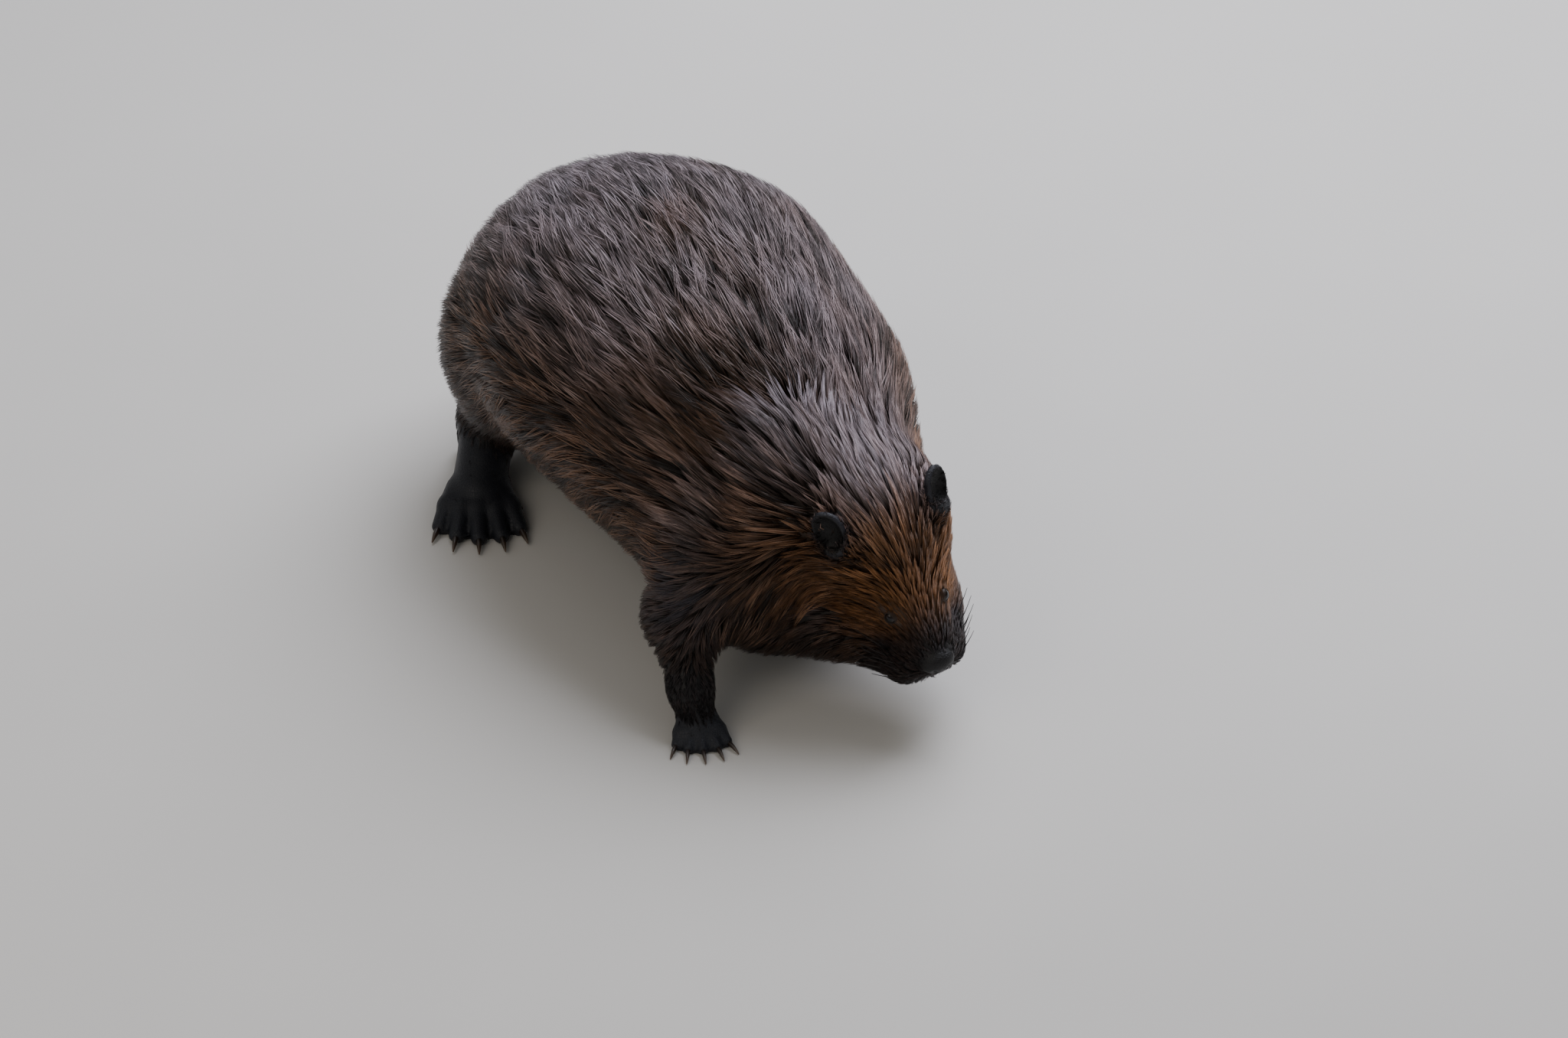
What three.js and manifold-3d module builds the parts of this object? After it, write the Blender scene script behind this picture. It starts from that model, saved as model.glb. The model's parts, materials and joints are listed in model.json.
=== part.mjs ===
// A North American beaver at life size, in millimetres, walking with its head down and its back
// arched. +X is the way it walks, +Y its left and +Z up; it stands on z = 0.
//
// The flesh is one smooth body: a list of ellipsoids and tapered limbs whose distances are run
// together with a soft minimum. Each part is drawn from that one body as a faceted surface and
// parted from its neighbours by a thin cut. The surface is the outside of the lying coat.
import * as THREE from 'three';
import { mergeVertices } from 'three/addons/utils/BufferGeometryUtils.js';
import { SimplifyModifier } from 'three/addons/modifiers/SimplifyModifier.js';
import Module from 'manifold-3d';

const wasm = await Module();
wasm.setup();

// ---- Driving dimensions -----------------------------------------------------------------------

const GAP = 0.3;
// Cell of each part's first surface, and the share of that surface's points that is kept.
const FACETS = {
  trunk: { cell: 35, keep: 1 },
  neck: { cell: 30, keep: 1 },
  leg: { cell: 21, keep: 1 },
  head: { cell: 6.5, keep: 0.155 },
  ear: { cell: 3.2, keep: 0.041 },
  hindFoot: { cell: 5, keep: 0.077 },
  forePaw: { cell: 3.8, keep: 0.068 },
  tailRoot: { cell: 24, keep: 1 },
  tail: { cell: 8, keep: 0.091 },
};

// The spine, from the rump forward: centre, half sizes, nose-down turn and softness of each mass.
const RUMP = { at: [-260, 57, 183], size: [128, 140, 136], blend: 0 };
const ABDOMEN = { at: [-150, 62, 208], size: [164, 176, 161], pitch: 6, blend: 60 };
const CHEST = { at: [-10, 57, 189], size: [144, 160, 145], pitch: 14, blend: 70 };
const SHOULDERS = { at: [70, 36, 152], size: [90, 108, 112], blend: 60 };
const NECK = { from: [92, 52, 186], to: [152, 78, 184], radii: [94, 68], blend: 50 };
const THROAT = { from: [100, 0, 80], to: [165, 50, 85], radii: [45, 42], blend: 30 };

// The head has a frame of its own: origin midway between the ears, +X to the nose.
const HEAD_AT = [177, 75, 189];
const HEAD_TURN = { yaw: -1.5, pitch: 37, roll: 14 };
const EYE = { at: [84, 26, -5.5], radius: 6 };
// An ear stands out and up from the skull's side; its plate's broad face looks outward and forward.
const EAR = { at: [0, 52, 35], size: [8, 18, 23.5], yaw: 48, pitch: -31, roll: -42 };
const EAR_CUP = { at: [7, 0, 2], size: [7, 12.5, 17] };
const NOSE_TIP = 144;
const NOSE_PAD = [11, 16, 12.5];

// Hind feet: heading and toe reach; the spots are ankle, heel and the ball of the foot.
const HIND_RIGHT = {
  side: -1, thigh: [-290, -5, 146], knee: [-273, -14, 105], ankle: [-320, -31, 56],
  heel: [-345, -26, 20], ball: [-269, -76, 17], heading: -31,
};
const HIND_LEFT = {
  side: 1, thigh: [-252, 136, 148], knee: [-224, 166, 105], ankle: [-278, 168, 52],
  heel: [-300, 166, 19], ball: [-212, 180, 17], heading: 10,
};
const FORE_RIGHT = {
  side: -1, shoulder: [92, -40, 150], elbow: [94, -80, 95], wrist: [131, -96, 44],
  palm: [143, -96, 14], heading: -24,
};
const FORE_LEFT = {
  side: 1, shoulder: [72, 112, 145], elbow: [50, 130, 92], wrist: [68, 110, 44],
  palm: [81, 104, 14], heading: 0,
};
const THIGH_SIZE = [91, 84, 98];
const HIND_TOE = { reach: 64, spread: 10, pitch: 11, radius: 10.5, web: 8.5 };
const FORE_TOE = { reach: 32, spread: 13, pitch: 6.5, radius: 7, web: 6 };
const HIND_CLAW = { length: 19, radius: 3.6 };
const FORE_CLAW = { length: 17, radius: 2.6 };

// The tail: a furred root that drops to the ground, then the flat scaly blade.
const TAIL_ROOT = { from: [-335, 84, 118], to: [-428, 126, 26], radii: [62, 27], blend: 40 };
const TAIL = { at: [-520, 172, 9], size: [138, 62, 13], yaw: 152, blend: 18 };

// ---- Turning and placing ----------------------------------------------------------------------

const vec = (p) => new THREE.Vector3(...p);

/** A turn given in degrees: yaw to the left, pitch nose down, roll left side up. */
function turn({ yaw = 0, pitch = 0, roll = 0 }) {
  const angles = [roll, pitch, yaw].map(THREE.MathUtils.degToRad);
  return new THREE.Matrix4().makeRotationFromEuler(new THREE.Euler(...angles, 'ZYX'));
}

const headFrame = turn(HEAD_TURN).setPosition(vec(HEAD_AT));
const inHead = (x, y, z) => new THREE.Vector3(x, y, z).applyMatrix4(headFrame).toArray();

/** A unit step along the ground at a heading, in degrees to the left of +X. */
function step(heading) {
  const angle = THREE.MathUtils.degToRad(heading);
  return new THREE.Vector3(Math.cos(angle), Math.sin(angle), 0);
}

// ---- The body as a distance -------------------------------------------------------------------

const flesh = [];

/** An ellipsoid's distance: |q| (|q| - 1) / |q / size|, where q is the place over the half sizes. */
function ball({ at, size, blend, frame, ...angles }) {
  const place = turn(angles);
  if (frame) place.premultiply(new THREE.Matrix4().extractRotation(frame));
  const inverse = place.setPosition(vec(at)).invert().elements;
  const [a, b, c] = size;
  flesh.push({
    blend,
    distance(x, y, z) {
      const u = (inverse[0] * x + inverse[4] * y + inverse[8] * z + inverse[12]) / a;
      const v = (inverse[1] * x + inverse[5] * y + inverse[9] * z + inverse[13]) / b;
      const w = (inverse[2] * x + inverse[6] * y + inverse[10] * z + inverse[14]) / c;
      const near = Math.hypot(u, v, w);
      return (near * (near - 1)) / (Math.hypot(u / a, v / b, w / c) + 1e-9);
    },
  });
}

/** A round limb that tapers from one radius to another; squash flattens it up and down. */
function limb({ from, to, radii, blend, squash = 1 }) {
  const [ax, ay, az] = from;
  const dx = to[0] - ax;
  const dy = to[1] - ay;
  const dz = (to[2] - az) * squash;
  const length2 = dx * dx + dy * dy + dz * dz;
  flesh.push({
    blend,
    distance(x, y, z) {
      const px = x - ax;
      const py = y - ay;
      const pz = (z - az) * squash;
      const t = Math.min(1, Math.max(0, (px * dx + py * dy + pz * dz) / length2));
      const away = Math.hypot(px - t * dx, py - t * dy, pz - t * dz);
      return away - radii[0] - (radii[1] - radii[0]) * t;
    },
  });
}

/** The whole body: the parts' distances, run together one after another with a soft minimum. */
function body(x, y, z) {
  let sum = 1e3;
  for (const { blend, distance } of flesh) {
    const d = distance(x, y, z);
    const h = blend ? Math.min(1, Math.max(0, 0.5 + (0.5 * (d - sum)) / blend)) : Number(d > sum);
    sum = d + (sum - d) * h - blend * h * (1 - h);
  }
  return sum;
}

// ---- The flesh, part by part ------------------------------------------------------------------

const claws = [];
let footCount = 0;

function trunkAndNeck() {
  for (const mass of [RUMP, ABDOMEN, CHEST, SHOULDERS]) ball(mass);
  limb(NECK);
  limb(THROAT);
}

function head() {
  const mass = (x, y, z, size, blend, pitch = 0) =>
    ball({ at: inHead(x, y, z), size, blend, pitch, frame: headFrame });
  mass(6, 0, -8, [64, 56, 48], 40);
  for (const side of [-1, 1]) mass(22, side * 28, -36, [46, 23, 36], 22);
  mass(68, 0, -22, [52, 34, 33], 25, 10);
  mass(110, 0, -39, [31, 26, 30], 18);
  for (const side of [-1, 1]) mass(56, side * 31, -72, [54, 28, 40], 20);
  mass(77, 0, -86, [58, 38, 35], 24);
  mass(18, 0, -86, [58, 42, 40], 30);
  for (const side of [-1, 1]) mass(111, side * 20, -62, [25, 20, 26], 12);
  mass(NOSE_TIP - NOSE_PAD[0], 0, -26, NOSE_PAD, 7);
}

function foreLeg({ side, shoulder, elbow, wrist, palm, heading }) {
  limb({ from: shoulder, to: elbow, radii: [58, 36], blend: 40 });
  limb({ from: elbow, to: wrist, radii: [34, 20], blend: 22 });
  limb({ from: wrist, to: palm, radii: [19, 16], blend: 14 });
  toes({ side, root: palm, heading, ...FORE_TOE, claw: FORE_CLAW });
}

function hindLeg({ side, thigh, knee, ankle, heel, ball: pad, heading }) {
  ball({ at: thigh, size: THIGH_SIZE, blend: 22 });
  limb({ from: knee, to: ankle, radii: [46, 28], blend: 24 });
  limb({ from: ankle, to: heel, radii: [27, 20], blend: 14 });
  limb({ from: heel, to: pad, radii: [20, 19], blend: 14, squash: 1.15 });
  limb({ from: ankle, to: pad, radii: [27, 24], blend: 14 });
  toes({ side, root: pad, heading, ...HIND_TOE, claw: HIND_CLAW });
}

/** Five toes fanned from a root, each arched over its knuckle, with a web low between them. */
function toes({ side, root, heading, reach, spread, pitch, radius, web, claw }) {
  const foot = footCount;
  footCount += 1;
  const across = step(heading + 90);
  const lengths = [0.74, 0.94, 1, 0.97, 0.82];
  const tips = lengths.map((share, i) => {
    const place = (i - 2) * side * -1;
    const along = step(heading + place * spread);
    const start = vec(root).addScaledVector(across, place * pitch).addScaledVector(along, -0.1 * reach);
    const knuckle = start.clone().addScaledVector(along, 0.5 * share * reach).setZ(radius * 1.35);
    const tip = start.clone().addScaledVector(along, share * reach).setZ(radius * 0.62);
    const thick = radius * (0.86 + 0.14 * share);
    limb({ from: start.toArray(), to: knuckle.toArray(), radii: [thick * 1.1, thick], blend: 8 });
    limb({ from: knuckle.toArray(), to: tip.toArray(), radii: [thick, thick * 0.78], blend: 5 });
    claws.push({ at: tip.clone(), along, sink: thick * 0.3, foot, ...claw });
    return { start, tip };
  });
  for (let i = 0; i < 4; i += 1) {
    const from = tips[i].start.clone().add(tips[i + 1].start).multiplyScalar(0.5);
    const to = tips[i].tip.clone().add(tips[i + 1].tip).multiplyScalar(0.5).lerp(from, 0.2);
    const radii = [web * 1.2, web];
    limb({ from: from.setZ(3).toArray(), to: to.setZ(2).toArray(), radii, blend: 6, squash: 1.1 });
  }
}

function tail() {
  limb(TAIL_ROOT);
  ball(TAIL);
}

/** The ear's own axes in the head's frame: X out of its open face, Z from its root to its tip. */
const earTurn = (side) => turn({ yaw: side * EAR.yaw, pitch: EAR.pitch, roll: side * EAR.roll });
const earAt = (side) => [EAR.at[0], side * EAR.at[1], EAR.at[2]];

function ears() {
  for (const side of [-1, 1]) {
    const frame = headFrame.clone().multiply(earTurn(side));
    const root = vec([2, 0, -17]).applyMatrix4(earTurn(side)).add(vec(earAt(side))).toArray();
    ball({ at: inHead(...root), size: [11, 14, 12], blend: 10, frame });
    ball({ at: inHead(...earAt(side)), size: EAR.size, blend: 6, frame });
  }
}

trunkAndNeck();
head();
for (const leg of [HIND_RIGHT, HIND_LEFT]) hindLeg(leg);
for (const leg of [FORE_RIGHT, FORE_LEFT]) foreLeg(leg);
tail();
ears();

// ---- From distance to facets ------------------------------------------------------------------

/**
 * The body inside a box, as a closed surface. Each cell that the surface crosses gets one point,
 * the mean of its crossed edges, moved on to the surface, and each crossed edge one quad.
 */
function surface(low, high, cell) {
  const count = low.map((start, i) => Math.ceil((high[i] - start) / cell) + 1);
  const [nx, ny, nz] = count;
  const strides = [ny * nz, nz, 1];
  const values = new Float64Array(nx * ny * nz).fill(cell);
  for (let i = 1; i < nx - 1; i += 1) {
    for (let j = 1; j < ny - 1; j += 1) {
      for (let k = 1; k < nz - 1; k += 1) {
        const value = body(low[0] + i * cell, low[1] + j * cell, low[2] + k * cell);
        values[i * strides[0] + j * strides[1] + k] = value;
      }
    }
  }
  const sums = new Map();
  const quads = [];
  for (let axis = 0; axis < 3; axis += 1) {
    const [side, other] = [(axis + 1) % 3, (axis + 2) % 3];
    for (let n = 0; n < values.length - strides[axis]; n += 1) {
      const at = [Math.floor(n / strides[0]), Math.floor(n / nz) % ny, n % nz];
      if (at[axis] === count[axis] - 1) continue;
      const [a, b] = [values[n], values[n + strides[axis]]];
      if (a < 0 === b < 0) continue;
      const crossing = at.slice();
      crossing[axis] += a / (a - b);
      const corners = [[0, 0], [1, 0], [1, 1], [0, 1]].map(([u, v]) => {
        const cellIndex = n - u * strides[side] - v * strides[other];
        const sum = sums.get(cellIndex) ?? { x: 0, y: 0, z: 0, hits: 0 };
        sum.x += crossing[0];
        sum.y += crossing[1];
        sum.z += crossing[2];
        sum.hits += 1;
        sums.set(cellIndex, sum);
        return cellIndex;
      });
      quads.push(a < 0 ? corners : corners.reverse());
    }
  }
  const points = [];
  const order = new Map();
  for (const [cellIndex, { x, y, z, hits }] of sums) {
    order.set(cellIndex, points.length);
    const point = [low[0] + (x / hits) * cell, low[1] + (y / hits) * cell, low[2] + (z / hits) * cell];
    const inside = point.every((p, i) => p > low[i] + 1.5 * cell && p < high[i] - 1.5 * cell);
    points.push(inside ? settle(point, cell) : point);
  }
  const index = [];
  for (const quad of quads) {
    const [a, b, c, d] = quad.map((cellIndex) => order.get(cellIndex));
    const apart = (m, n) => Math.hypot(...points[m].map((p, i) => p - points[n][i]));
    if (apart(a, c) < apart(b, d)) index.push(a, b, c, a, c, d);
    else index.push(a, b, d, b, c, d);
  }
  const geometry = new THREE.BufferGeometry();
  geometry.setAttribute('position', new THREE.BufferAttribute(new Float32Array(points.flat()), 3));
  geometry.setIndex(index);
  return geometry;
}

/** Moves a point on to the body's surface by two Newton steps, each under a third of a cell. */
function settle([x, y, z], cell) {
  for (let round = 0; round < 2; round += 1) {
    const h = 0.5;
    const value = body(x, y, z);
    const gx = body(x + h, y, z) - body(x - h, y, z);
    const gy = body(x, y + h, z) - body(x, y - h, z);
    const gz = body(x, y, z + h) - body(x, y, z - h);
    const slope2 = Math.max(gx * gx + gy * gy + gz * gz, 1e-6);
    const stride = (-value * 2 * h) / slope2;
    const limit = Math.min(1, cell / 3 / Math.max(Math.abs(stride) * Math.sqrt(slope2), 1e-9));
    x += gx * stride * limit;
    y += gy * stride * limit;
    z += gz * stride * limit;
  }
  return [x, y, z];
}

// ---- Solids and cutters -----------------------------------------------------------------------

/** A closed mesh as a solid that can be joined and cut. */
function solid(geometry) {
  const bare = geometry.clone();
  bare.deleteAttribute('normal');
  bare.deleteAttribute('uv');
  const merged = mergeVertices(bare, 1e-4);
  const vertProperties = new Float32Array(merged.attributes.position.array);
  const triVerts = new Uint32Array(merged.index.array);
  return new wasm.Manifold(new wasm.Mesh({ numProp: 3, vertProperties, triVerts }));
}

/** Everything beyond a plane through a point, in the direction of its normal. */
function beyond(point, normal, shift = 0) {
  const size = 1600;
  const block = new THREE.BoxGeometry(size, size, size).translate(0, 0, size / 2 + shift);
  const toNormal = new THREE.Quaternion().setFromUnitVectors(vec([0, 0, 1]), vec(normal).normalize());
  return solid(block.applyQuaternion(toNormal).translate(...point));
}

/** An ellipsoid that takes in one part; grow makes it larger all round. */
function bubble({ at, size, ...angles }, grow = 0) {
  const sphere = new THREE.SphereGeometry(1, 10, 6).scale(...size.map((s) => s + grow));
  return solid(sphere.applyMatrix4(turn(angles)).translate(...at));
}

/** A box from its lowest to its highest corner. */
function block(low, high) {
  const size = high.map((h, i) => h - low[i]);
  const middle = high.map((h, i) => (h + low[i]) / 2);
  return solid(new THREE.BoxGeometry(...size).translate(...middle));
}

const underground = block([-900, -500, -200], [600, 600, 0]);

/** The body inside a box as a solid that stands on z = 0, in facets of one kind. */
async function part(low, high, { cell, keep }) {
  const fine = surface(low, high, cell);
  const spare = Math.round(fine.attributes.position.count * (1 - keep));
  const coarse = spare ? await new SimplifyModifier().modify(fine, spare) : fine;
  return solid(coarse).subtract(underground);
}

// ---- The cuts ---------------------------------------------------------------------------------

const HALF = GAP / 2;
const neckCut = (shift) => beyond([104, 58, 180], [0.93, 0.3, 0.2], shift);
const headCut = (shift) => beyond([152, 76, 160], [0.99, 0, -0.12], shift);
const tailRootCut = (shift) => beyond([-362, 96, 92], [-0.84, 0.42, -0.34], shift);
const bladeCut = (shift) => beyond([-428, 128, 20], [-0.88, 0.47, -0.05], shift);
const THIGH_RIGHT = { at: [-312, -20, 102], size: [96, 78, 114], pitch: 10 };
const THIGH_LEFT = { at: [-254, 162, 108], size: [84, 72, 108], pitch: 12 };
const UPPER_ARM_RIGHT = { at: [106, -82, 92], size: [64, 54, 98], pitch: -20 };
const UPPER_ARM_LEFT = { at: [62, 122, 90], size: [60, 52, 96], pitch: -10 };

// Boxes that hold one part each, with room to spare on the side where the part is cut.
const TRUNK_BOX = [[-460, -200, -8], [220, 310, 450]];
const NECK_BOX = [[30, -130, -4], [250, 250, 350]];
const HEAD_BOX = [[120, -16, 14], [306, 166, 274]];
const TAIL_ROOT_BOX = [[-510, -20, -40], [-310, 170, 240]];
const TAIL_BOX = [[-700, 40, -12], [-380, 300, 120]];
const EAR_REACH = 42;
const LEG_ROOM = 40;
const HIND_FOOT_REACH = 100;
const FORE_PAW_REACH = 56;

/** What belongs to a foot: a bubble along its sole, under a level cut below the ankle or wrist. */
function footRegion({ root, joint, heading, reach }, grow = 0) {
  const middle = vec(root).addScaledVector(step(heading), 0.12 * reach).setZ(0).toArray();
  const sole = { at: middle, size: [reach, 0.62 * reach, 0.95 * reach], yaw: heading };
  const shift = grow ? -HALF : HALF;
  return bubble(sole, grow).intersect(beyond([0, 0, joint[2] - 4], [0, 0, -1], shift));
}

/** A box in the head's own frame, from its lowest to its highest corner. */
function blockInHead(low, high, grow = 0) {
  const size = high.map((h, i) => h - low[i] + 2 * grow);
  const middle = high.map((h, i) => (h + low[i]) / 2);
  return solid(new THREE.BoxGeometry(...size).translate(...middle).applyMatrix4(headFrame));
}

/** The bubble that parts an ear from the head, in the ear's own axes. */
function earBubble(side, grow = 0) {
  const [a, b, c] = EAR.size.map((half) => half + 4 + grow);
  const sphere = new THREE.SphereGeometry(1, 10, 6).scale(a + 6, b + 1, c).translate(0, 0, 3);
  return solid(sphere.applyMatrix4(earTurn(side)).translate(...earAt(side)).applyMatrix4(headFrame));
}

/** The hollow of an ear, pressed into its broad face. */
function earCup(side) {
  const cup = new THREE.SphereGeometry(1, 9, 5).scale(...EAR_CUP.size).translate(...EAR_CUP.at);
  return solid(cup.applyMatrix4(earTurn(side)).translate(...earAt(side)).applyMatrix4(headFrame));
}

const eyeBall = (side, grow = 0) => {
  const [x, y, z] = EYE.at;
  const sphere = new THREE.SphereGeometry(EYE.radius + grow, 8, 6);
  return solid(sphere.translate(...inHead(x, side * y, z)));
};

// ---- Building the nodes -----------------------------------------------------------------------

const beaver = new THREE.Group();

function add(name, shape, { color, roughness, metalness = 0 }) {
  const { vertProperties, triVerts } = shape.getMesh();
  const geometry = new THREE.BufferGeometry();
  geometry.setAttribute('position', new THREE.BufferAttribute(vertProperties, 3));
  geometry.setIndex(new THREE.BufferAttribute(triVerts, 1));
  const mesh = new THREE.Mesh(geometry, new THREE.MeshStandardMaterial({ color, roughness, metalness }));
  mesh.name = name;
  beaver.add(mesh);
}

const FUR = { color: 0x4a3427, roughness: 0.8 };
const HEAD_FUR = { color: 0x5a3822, roughness: 0.8 };
const BARE_SKIN = { color: 0x25262b, roughness: 0.55 };
const TAIL_SKIN = { color: 0x2c2a2b, roughness: 0.6 };
const HORN = { color: 0x2a2320, roughness: 0.35 };
const EYE_GLOSS = { color: 0x0c0a09, roughness: 0.08 };

/** A claw: a cone bent down in an arc, made of rings that shrink to a blunt point. */
function clawShape({ at, along, sink, length, radius }, grow = 0) {
  const sides = 5;
  const rings = 3;
  const across = new THREE.Vector3(-along.y, along.x, 0);
  const up = vec([0, 0, 1]);
  const points = [];
  for (let ring = 0; ring < rings; ring += 1) {
    const t = ring / (rings - 1);
    const centre = at.clone().addScaledVector(along, sink + t * length - (ring ? 0 : grow));
    centre.z += 0.12 * length * t - 0.3 * length * t * t;
    const r = (radius + grow) * (1 - 0.78 * t * t);
    for (let side = 0; side < sides; side += 1) {
      const angle = (2 * Math.PI * side) / sides;
      const spot = centre.clone().addScaledVector(across, r * Math.cos(angle));
      points.push(spot.addScaledVector(up, r * Math.sin(angle)));
    }
  }
  const index = [];
  for (let side = 0; side < sides; side += 1) {
    const next = (side + 1) % sides;
    for (let ring = 0; ring < rings - 1; ring += 1) {
      const [a, b] = [ring * sides + side, ring * sides + next];
      index.push(a, b, b + sides, a, b + sides, a + sides);
    }
    if (side > 0 && side < sides - 1) {
      const last = (rings - 1) * sides;
      index.push(0, side + 1, side, last, last + side, last + side + 1);
    }
  }
  const geometry = new THREE.BufferGeometry().setFromPoints(points);
  geometry.setIndex(index);
  return solid(geometry);
}

const cut = (shape, ...cutters) => cutters.reduce((rest, cutter) => rest.subtract(cutter), shape);

/** What a hind leg's or a fore leg's parting needs, from the leg's own spots. */
function hind(side, region, { ball: root, ankle: joint, heading }) {
  const names = { leg: `hind_leg_${side}`, foot: `hind_foot_${side}` };
  return { ...names, region, root, joint, heading, reach: HIND_FOOT_REACH, facets: FACETS.hindFoot };
}

function fore(side, region, { palm: root, wrist: joint, heading }) {
  const names = { leg: `fore_leg_${side}`, foot: `fore_paw_${side}` };
  return { ...names, region, root, joint, heading, reach: FORE_PAW_REACH, facets: FACETS.forePaw };
}

const limbs = [
  hind('right', THIGH_RIGHT, HIND_RIGHT),
  hind('left', THIGH_LEFT, HIND_LEFT),
  fore('right', UPPER_ARM_RIGHT, FORE_RIGHT),
  fore('left', UPPER_ARM_LEFT, FORE_LEFT),
];
const footSockets = limbs.map((limbSpec) => footRegion(limbSpec, GAP));
const legSockets = [...limbs.map(({ region }) => bubble(region, GAP)), ...footSockets];

const whole = await part(...TRUNK_BOX, FACETS.trunk);
add('trunk', cut(whole, neckCut(-HALF), tailRootCut(-HALF), ...legSockets), FUR);

const nape = await part(...NECK_BOX, FACETS.neck);
const neck = nape.intersect(neckCut(HALF));
add('neck', cut(neck, headCut(-HALF), ...legSockets), FUR);

const skull = (await part(...HEAD_BOX, FACETS.head)).intersect(headCut(HALF)).intersect(neckCut(HALF));
const noseBox = (grow) => blockInHead([NOSE_TIP - 10, -17, -40], [NOSE_TIP + 20, 17, -10], grow);
const sockets = [-1, 1].flatMap((side) => [earBubble(side, GAP), eyeBall(side, GAP)]);
add('head', cut(skull, ...sockets, noseBox(GAP), ...legSockets), HEAD_FUR);
add('nose', skull.intersect(noseBox(0)), BARE_SKIN);

for (const [side, hand] of [[-1, 'right'], [1, 'left']]) {
  const middle = inHead(...earAt(side));
  const box = [-EAR_REACH, EAR_REACH].map((reach) => middle.map((c) => c + reach));
  const ear = await part(...box, FACETS.ear);
  add(`ear_${hand}`, ear.intersect(earBubble(side)).subtract(earCup(side)), BARE_SKIN);
  add(`eye_${hand}`, eyeBall(side), EYE_GLOSS);
}

for (const [number, limbSpec] of limbs.entries()) {
  const { leg, foot, region, root, joint, reach, facets } = limbSpec;
  const low = region.at.map((c, i) => c - region.size[i] - LEG_ROOM);
  const high = region.at.map((c, i) => c + region.size[i] + LEG_ROOM);
  const thigh = (await part(low, high, FACETS.leg)).intersect(bubble(region));
  add(leg, cut(thigh, footSockets[number], tailRootCut(-HALF)), FUR);

  const floor = [root[0] - reach, root[1] - reach, -1.5 * facets.cell];
  const top = [root[0] + reach, root[1] + reach, joint[2] + 2.5 * facets.cell];
  const sole = (await part(floor, top, facets)).intersect(footRegion(limbSpec));
  const nails = claws.filter((claw) => claw.foot === number);
  add(foot, cut(sole, ...nails.map((nail) => clawShape(nail, GAP))), BARE_SKIN);
  nails.forEach((nail, toe) => add(`${foot}_claw_${toe + 1}`, clawShape(nail), HORN));
}

const rump = await part(...TAIL_ROOT_BOX, FACETS.tailRoot);
add('tail_root', cut(rump.intersect(tailRootCut(HALF)), bladeCut(-HALF)), FUR);
const blade = await part(...TAIL_BOX, FACETS.tail);
add('tail', blade.intersect(bladeCut(HALF)), TAIL_SKIN);

// The origin is the middle of the animal's box, on the floor.
const centre = new THREE.Box3().setFromObject(beaver).getCenter(new THREE.Vector3());
beaver.position.set(-centre.x, -centre.y, 0);

export default beaver;
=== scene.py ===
# %% [markdown]
# # A North American beaver in its summer coat
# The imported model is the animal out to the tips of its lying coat, cut into facets. Here it gets
# what a museum's model maker would give it: one skin that lies inside those solids by the coat's
# depth, guard hair in locks over it, a scaly tail, bare feet with claws, lids, eyes and whiskers.
# The frame comes first, because every piece is placed from it.

# %% Load the frame
import json

import bmesh
import bpy
import numpy as np
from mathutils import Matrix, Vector

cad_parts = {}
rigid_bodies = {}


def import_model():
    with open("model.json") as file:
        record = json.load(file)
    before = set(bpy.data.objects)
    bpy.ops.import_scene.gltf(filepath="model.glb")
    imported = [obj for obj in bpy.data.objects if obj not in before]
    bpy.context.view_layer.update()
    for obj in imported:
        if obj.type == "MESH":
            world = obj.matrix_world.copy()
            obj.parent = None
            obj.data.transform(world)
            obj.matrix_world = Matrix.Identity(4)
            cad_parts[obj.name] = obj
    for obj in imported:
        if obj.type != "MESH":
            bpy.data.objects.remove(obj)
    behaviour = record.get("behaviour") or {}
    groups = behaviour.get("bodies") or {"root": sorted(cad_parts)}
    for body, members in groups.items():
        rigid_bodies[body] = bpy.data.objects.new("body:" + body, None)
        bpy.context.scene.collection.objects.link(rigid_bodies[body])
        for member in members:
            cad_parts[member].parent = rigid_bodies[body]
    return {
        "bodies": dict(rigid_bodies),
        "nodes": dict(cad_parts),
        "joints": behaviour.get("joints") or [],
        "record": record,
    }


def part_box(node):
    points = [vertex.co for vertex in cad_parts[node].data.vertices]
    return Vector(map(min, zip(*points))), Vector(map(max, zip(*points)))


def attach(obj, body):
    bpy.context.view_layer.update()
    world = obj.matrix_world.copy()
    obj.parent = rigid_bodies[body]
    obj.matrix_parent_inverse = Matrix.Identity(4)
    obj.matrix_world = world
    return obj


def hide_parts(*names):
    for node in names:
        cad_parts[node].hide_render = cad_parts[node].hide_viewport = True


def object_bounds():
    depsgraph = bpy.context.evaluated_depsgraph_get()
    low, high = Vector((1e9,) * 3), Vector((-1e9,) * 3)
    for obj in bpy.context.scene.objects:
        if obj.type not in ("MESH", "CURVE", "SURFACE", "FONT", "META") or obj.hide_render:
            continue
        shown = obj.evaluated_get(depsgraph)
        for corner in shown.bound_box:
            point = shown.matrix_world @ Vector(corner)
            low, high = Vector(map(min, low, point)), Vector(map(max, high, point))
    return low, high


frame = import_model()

cad_low, cad_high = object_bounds()
print("frame", [round(v, 4) for v in cad_high - cad_low], len(frame["nodes"]), "nodes")

# %% [markdown]
# ## The head's own frame
# Skull, ears and eyes are symmetrical about the head's midline, but the head itself is lowered,
# turned and tipped. So its parts are placed in a frame of their own: origin midway between the
# ears, X to the nose, Y to the left. Shapes are worked out in millimetres, in the body's own
# frame, and one helper turns them into the row's metres. The step between the two frames is
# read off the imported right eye, whose place in the head is known.

# %% The head's place and turn
MM = 0.001


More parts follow.
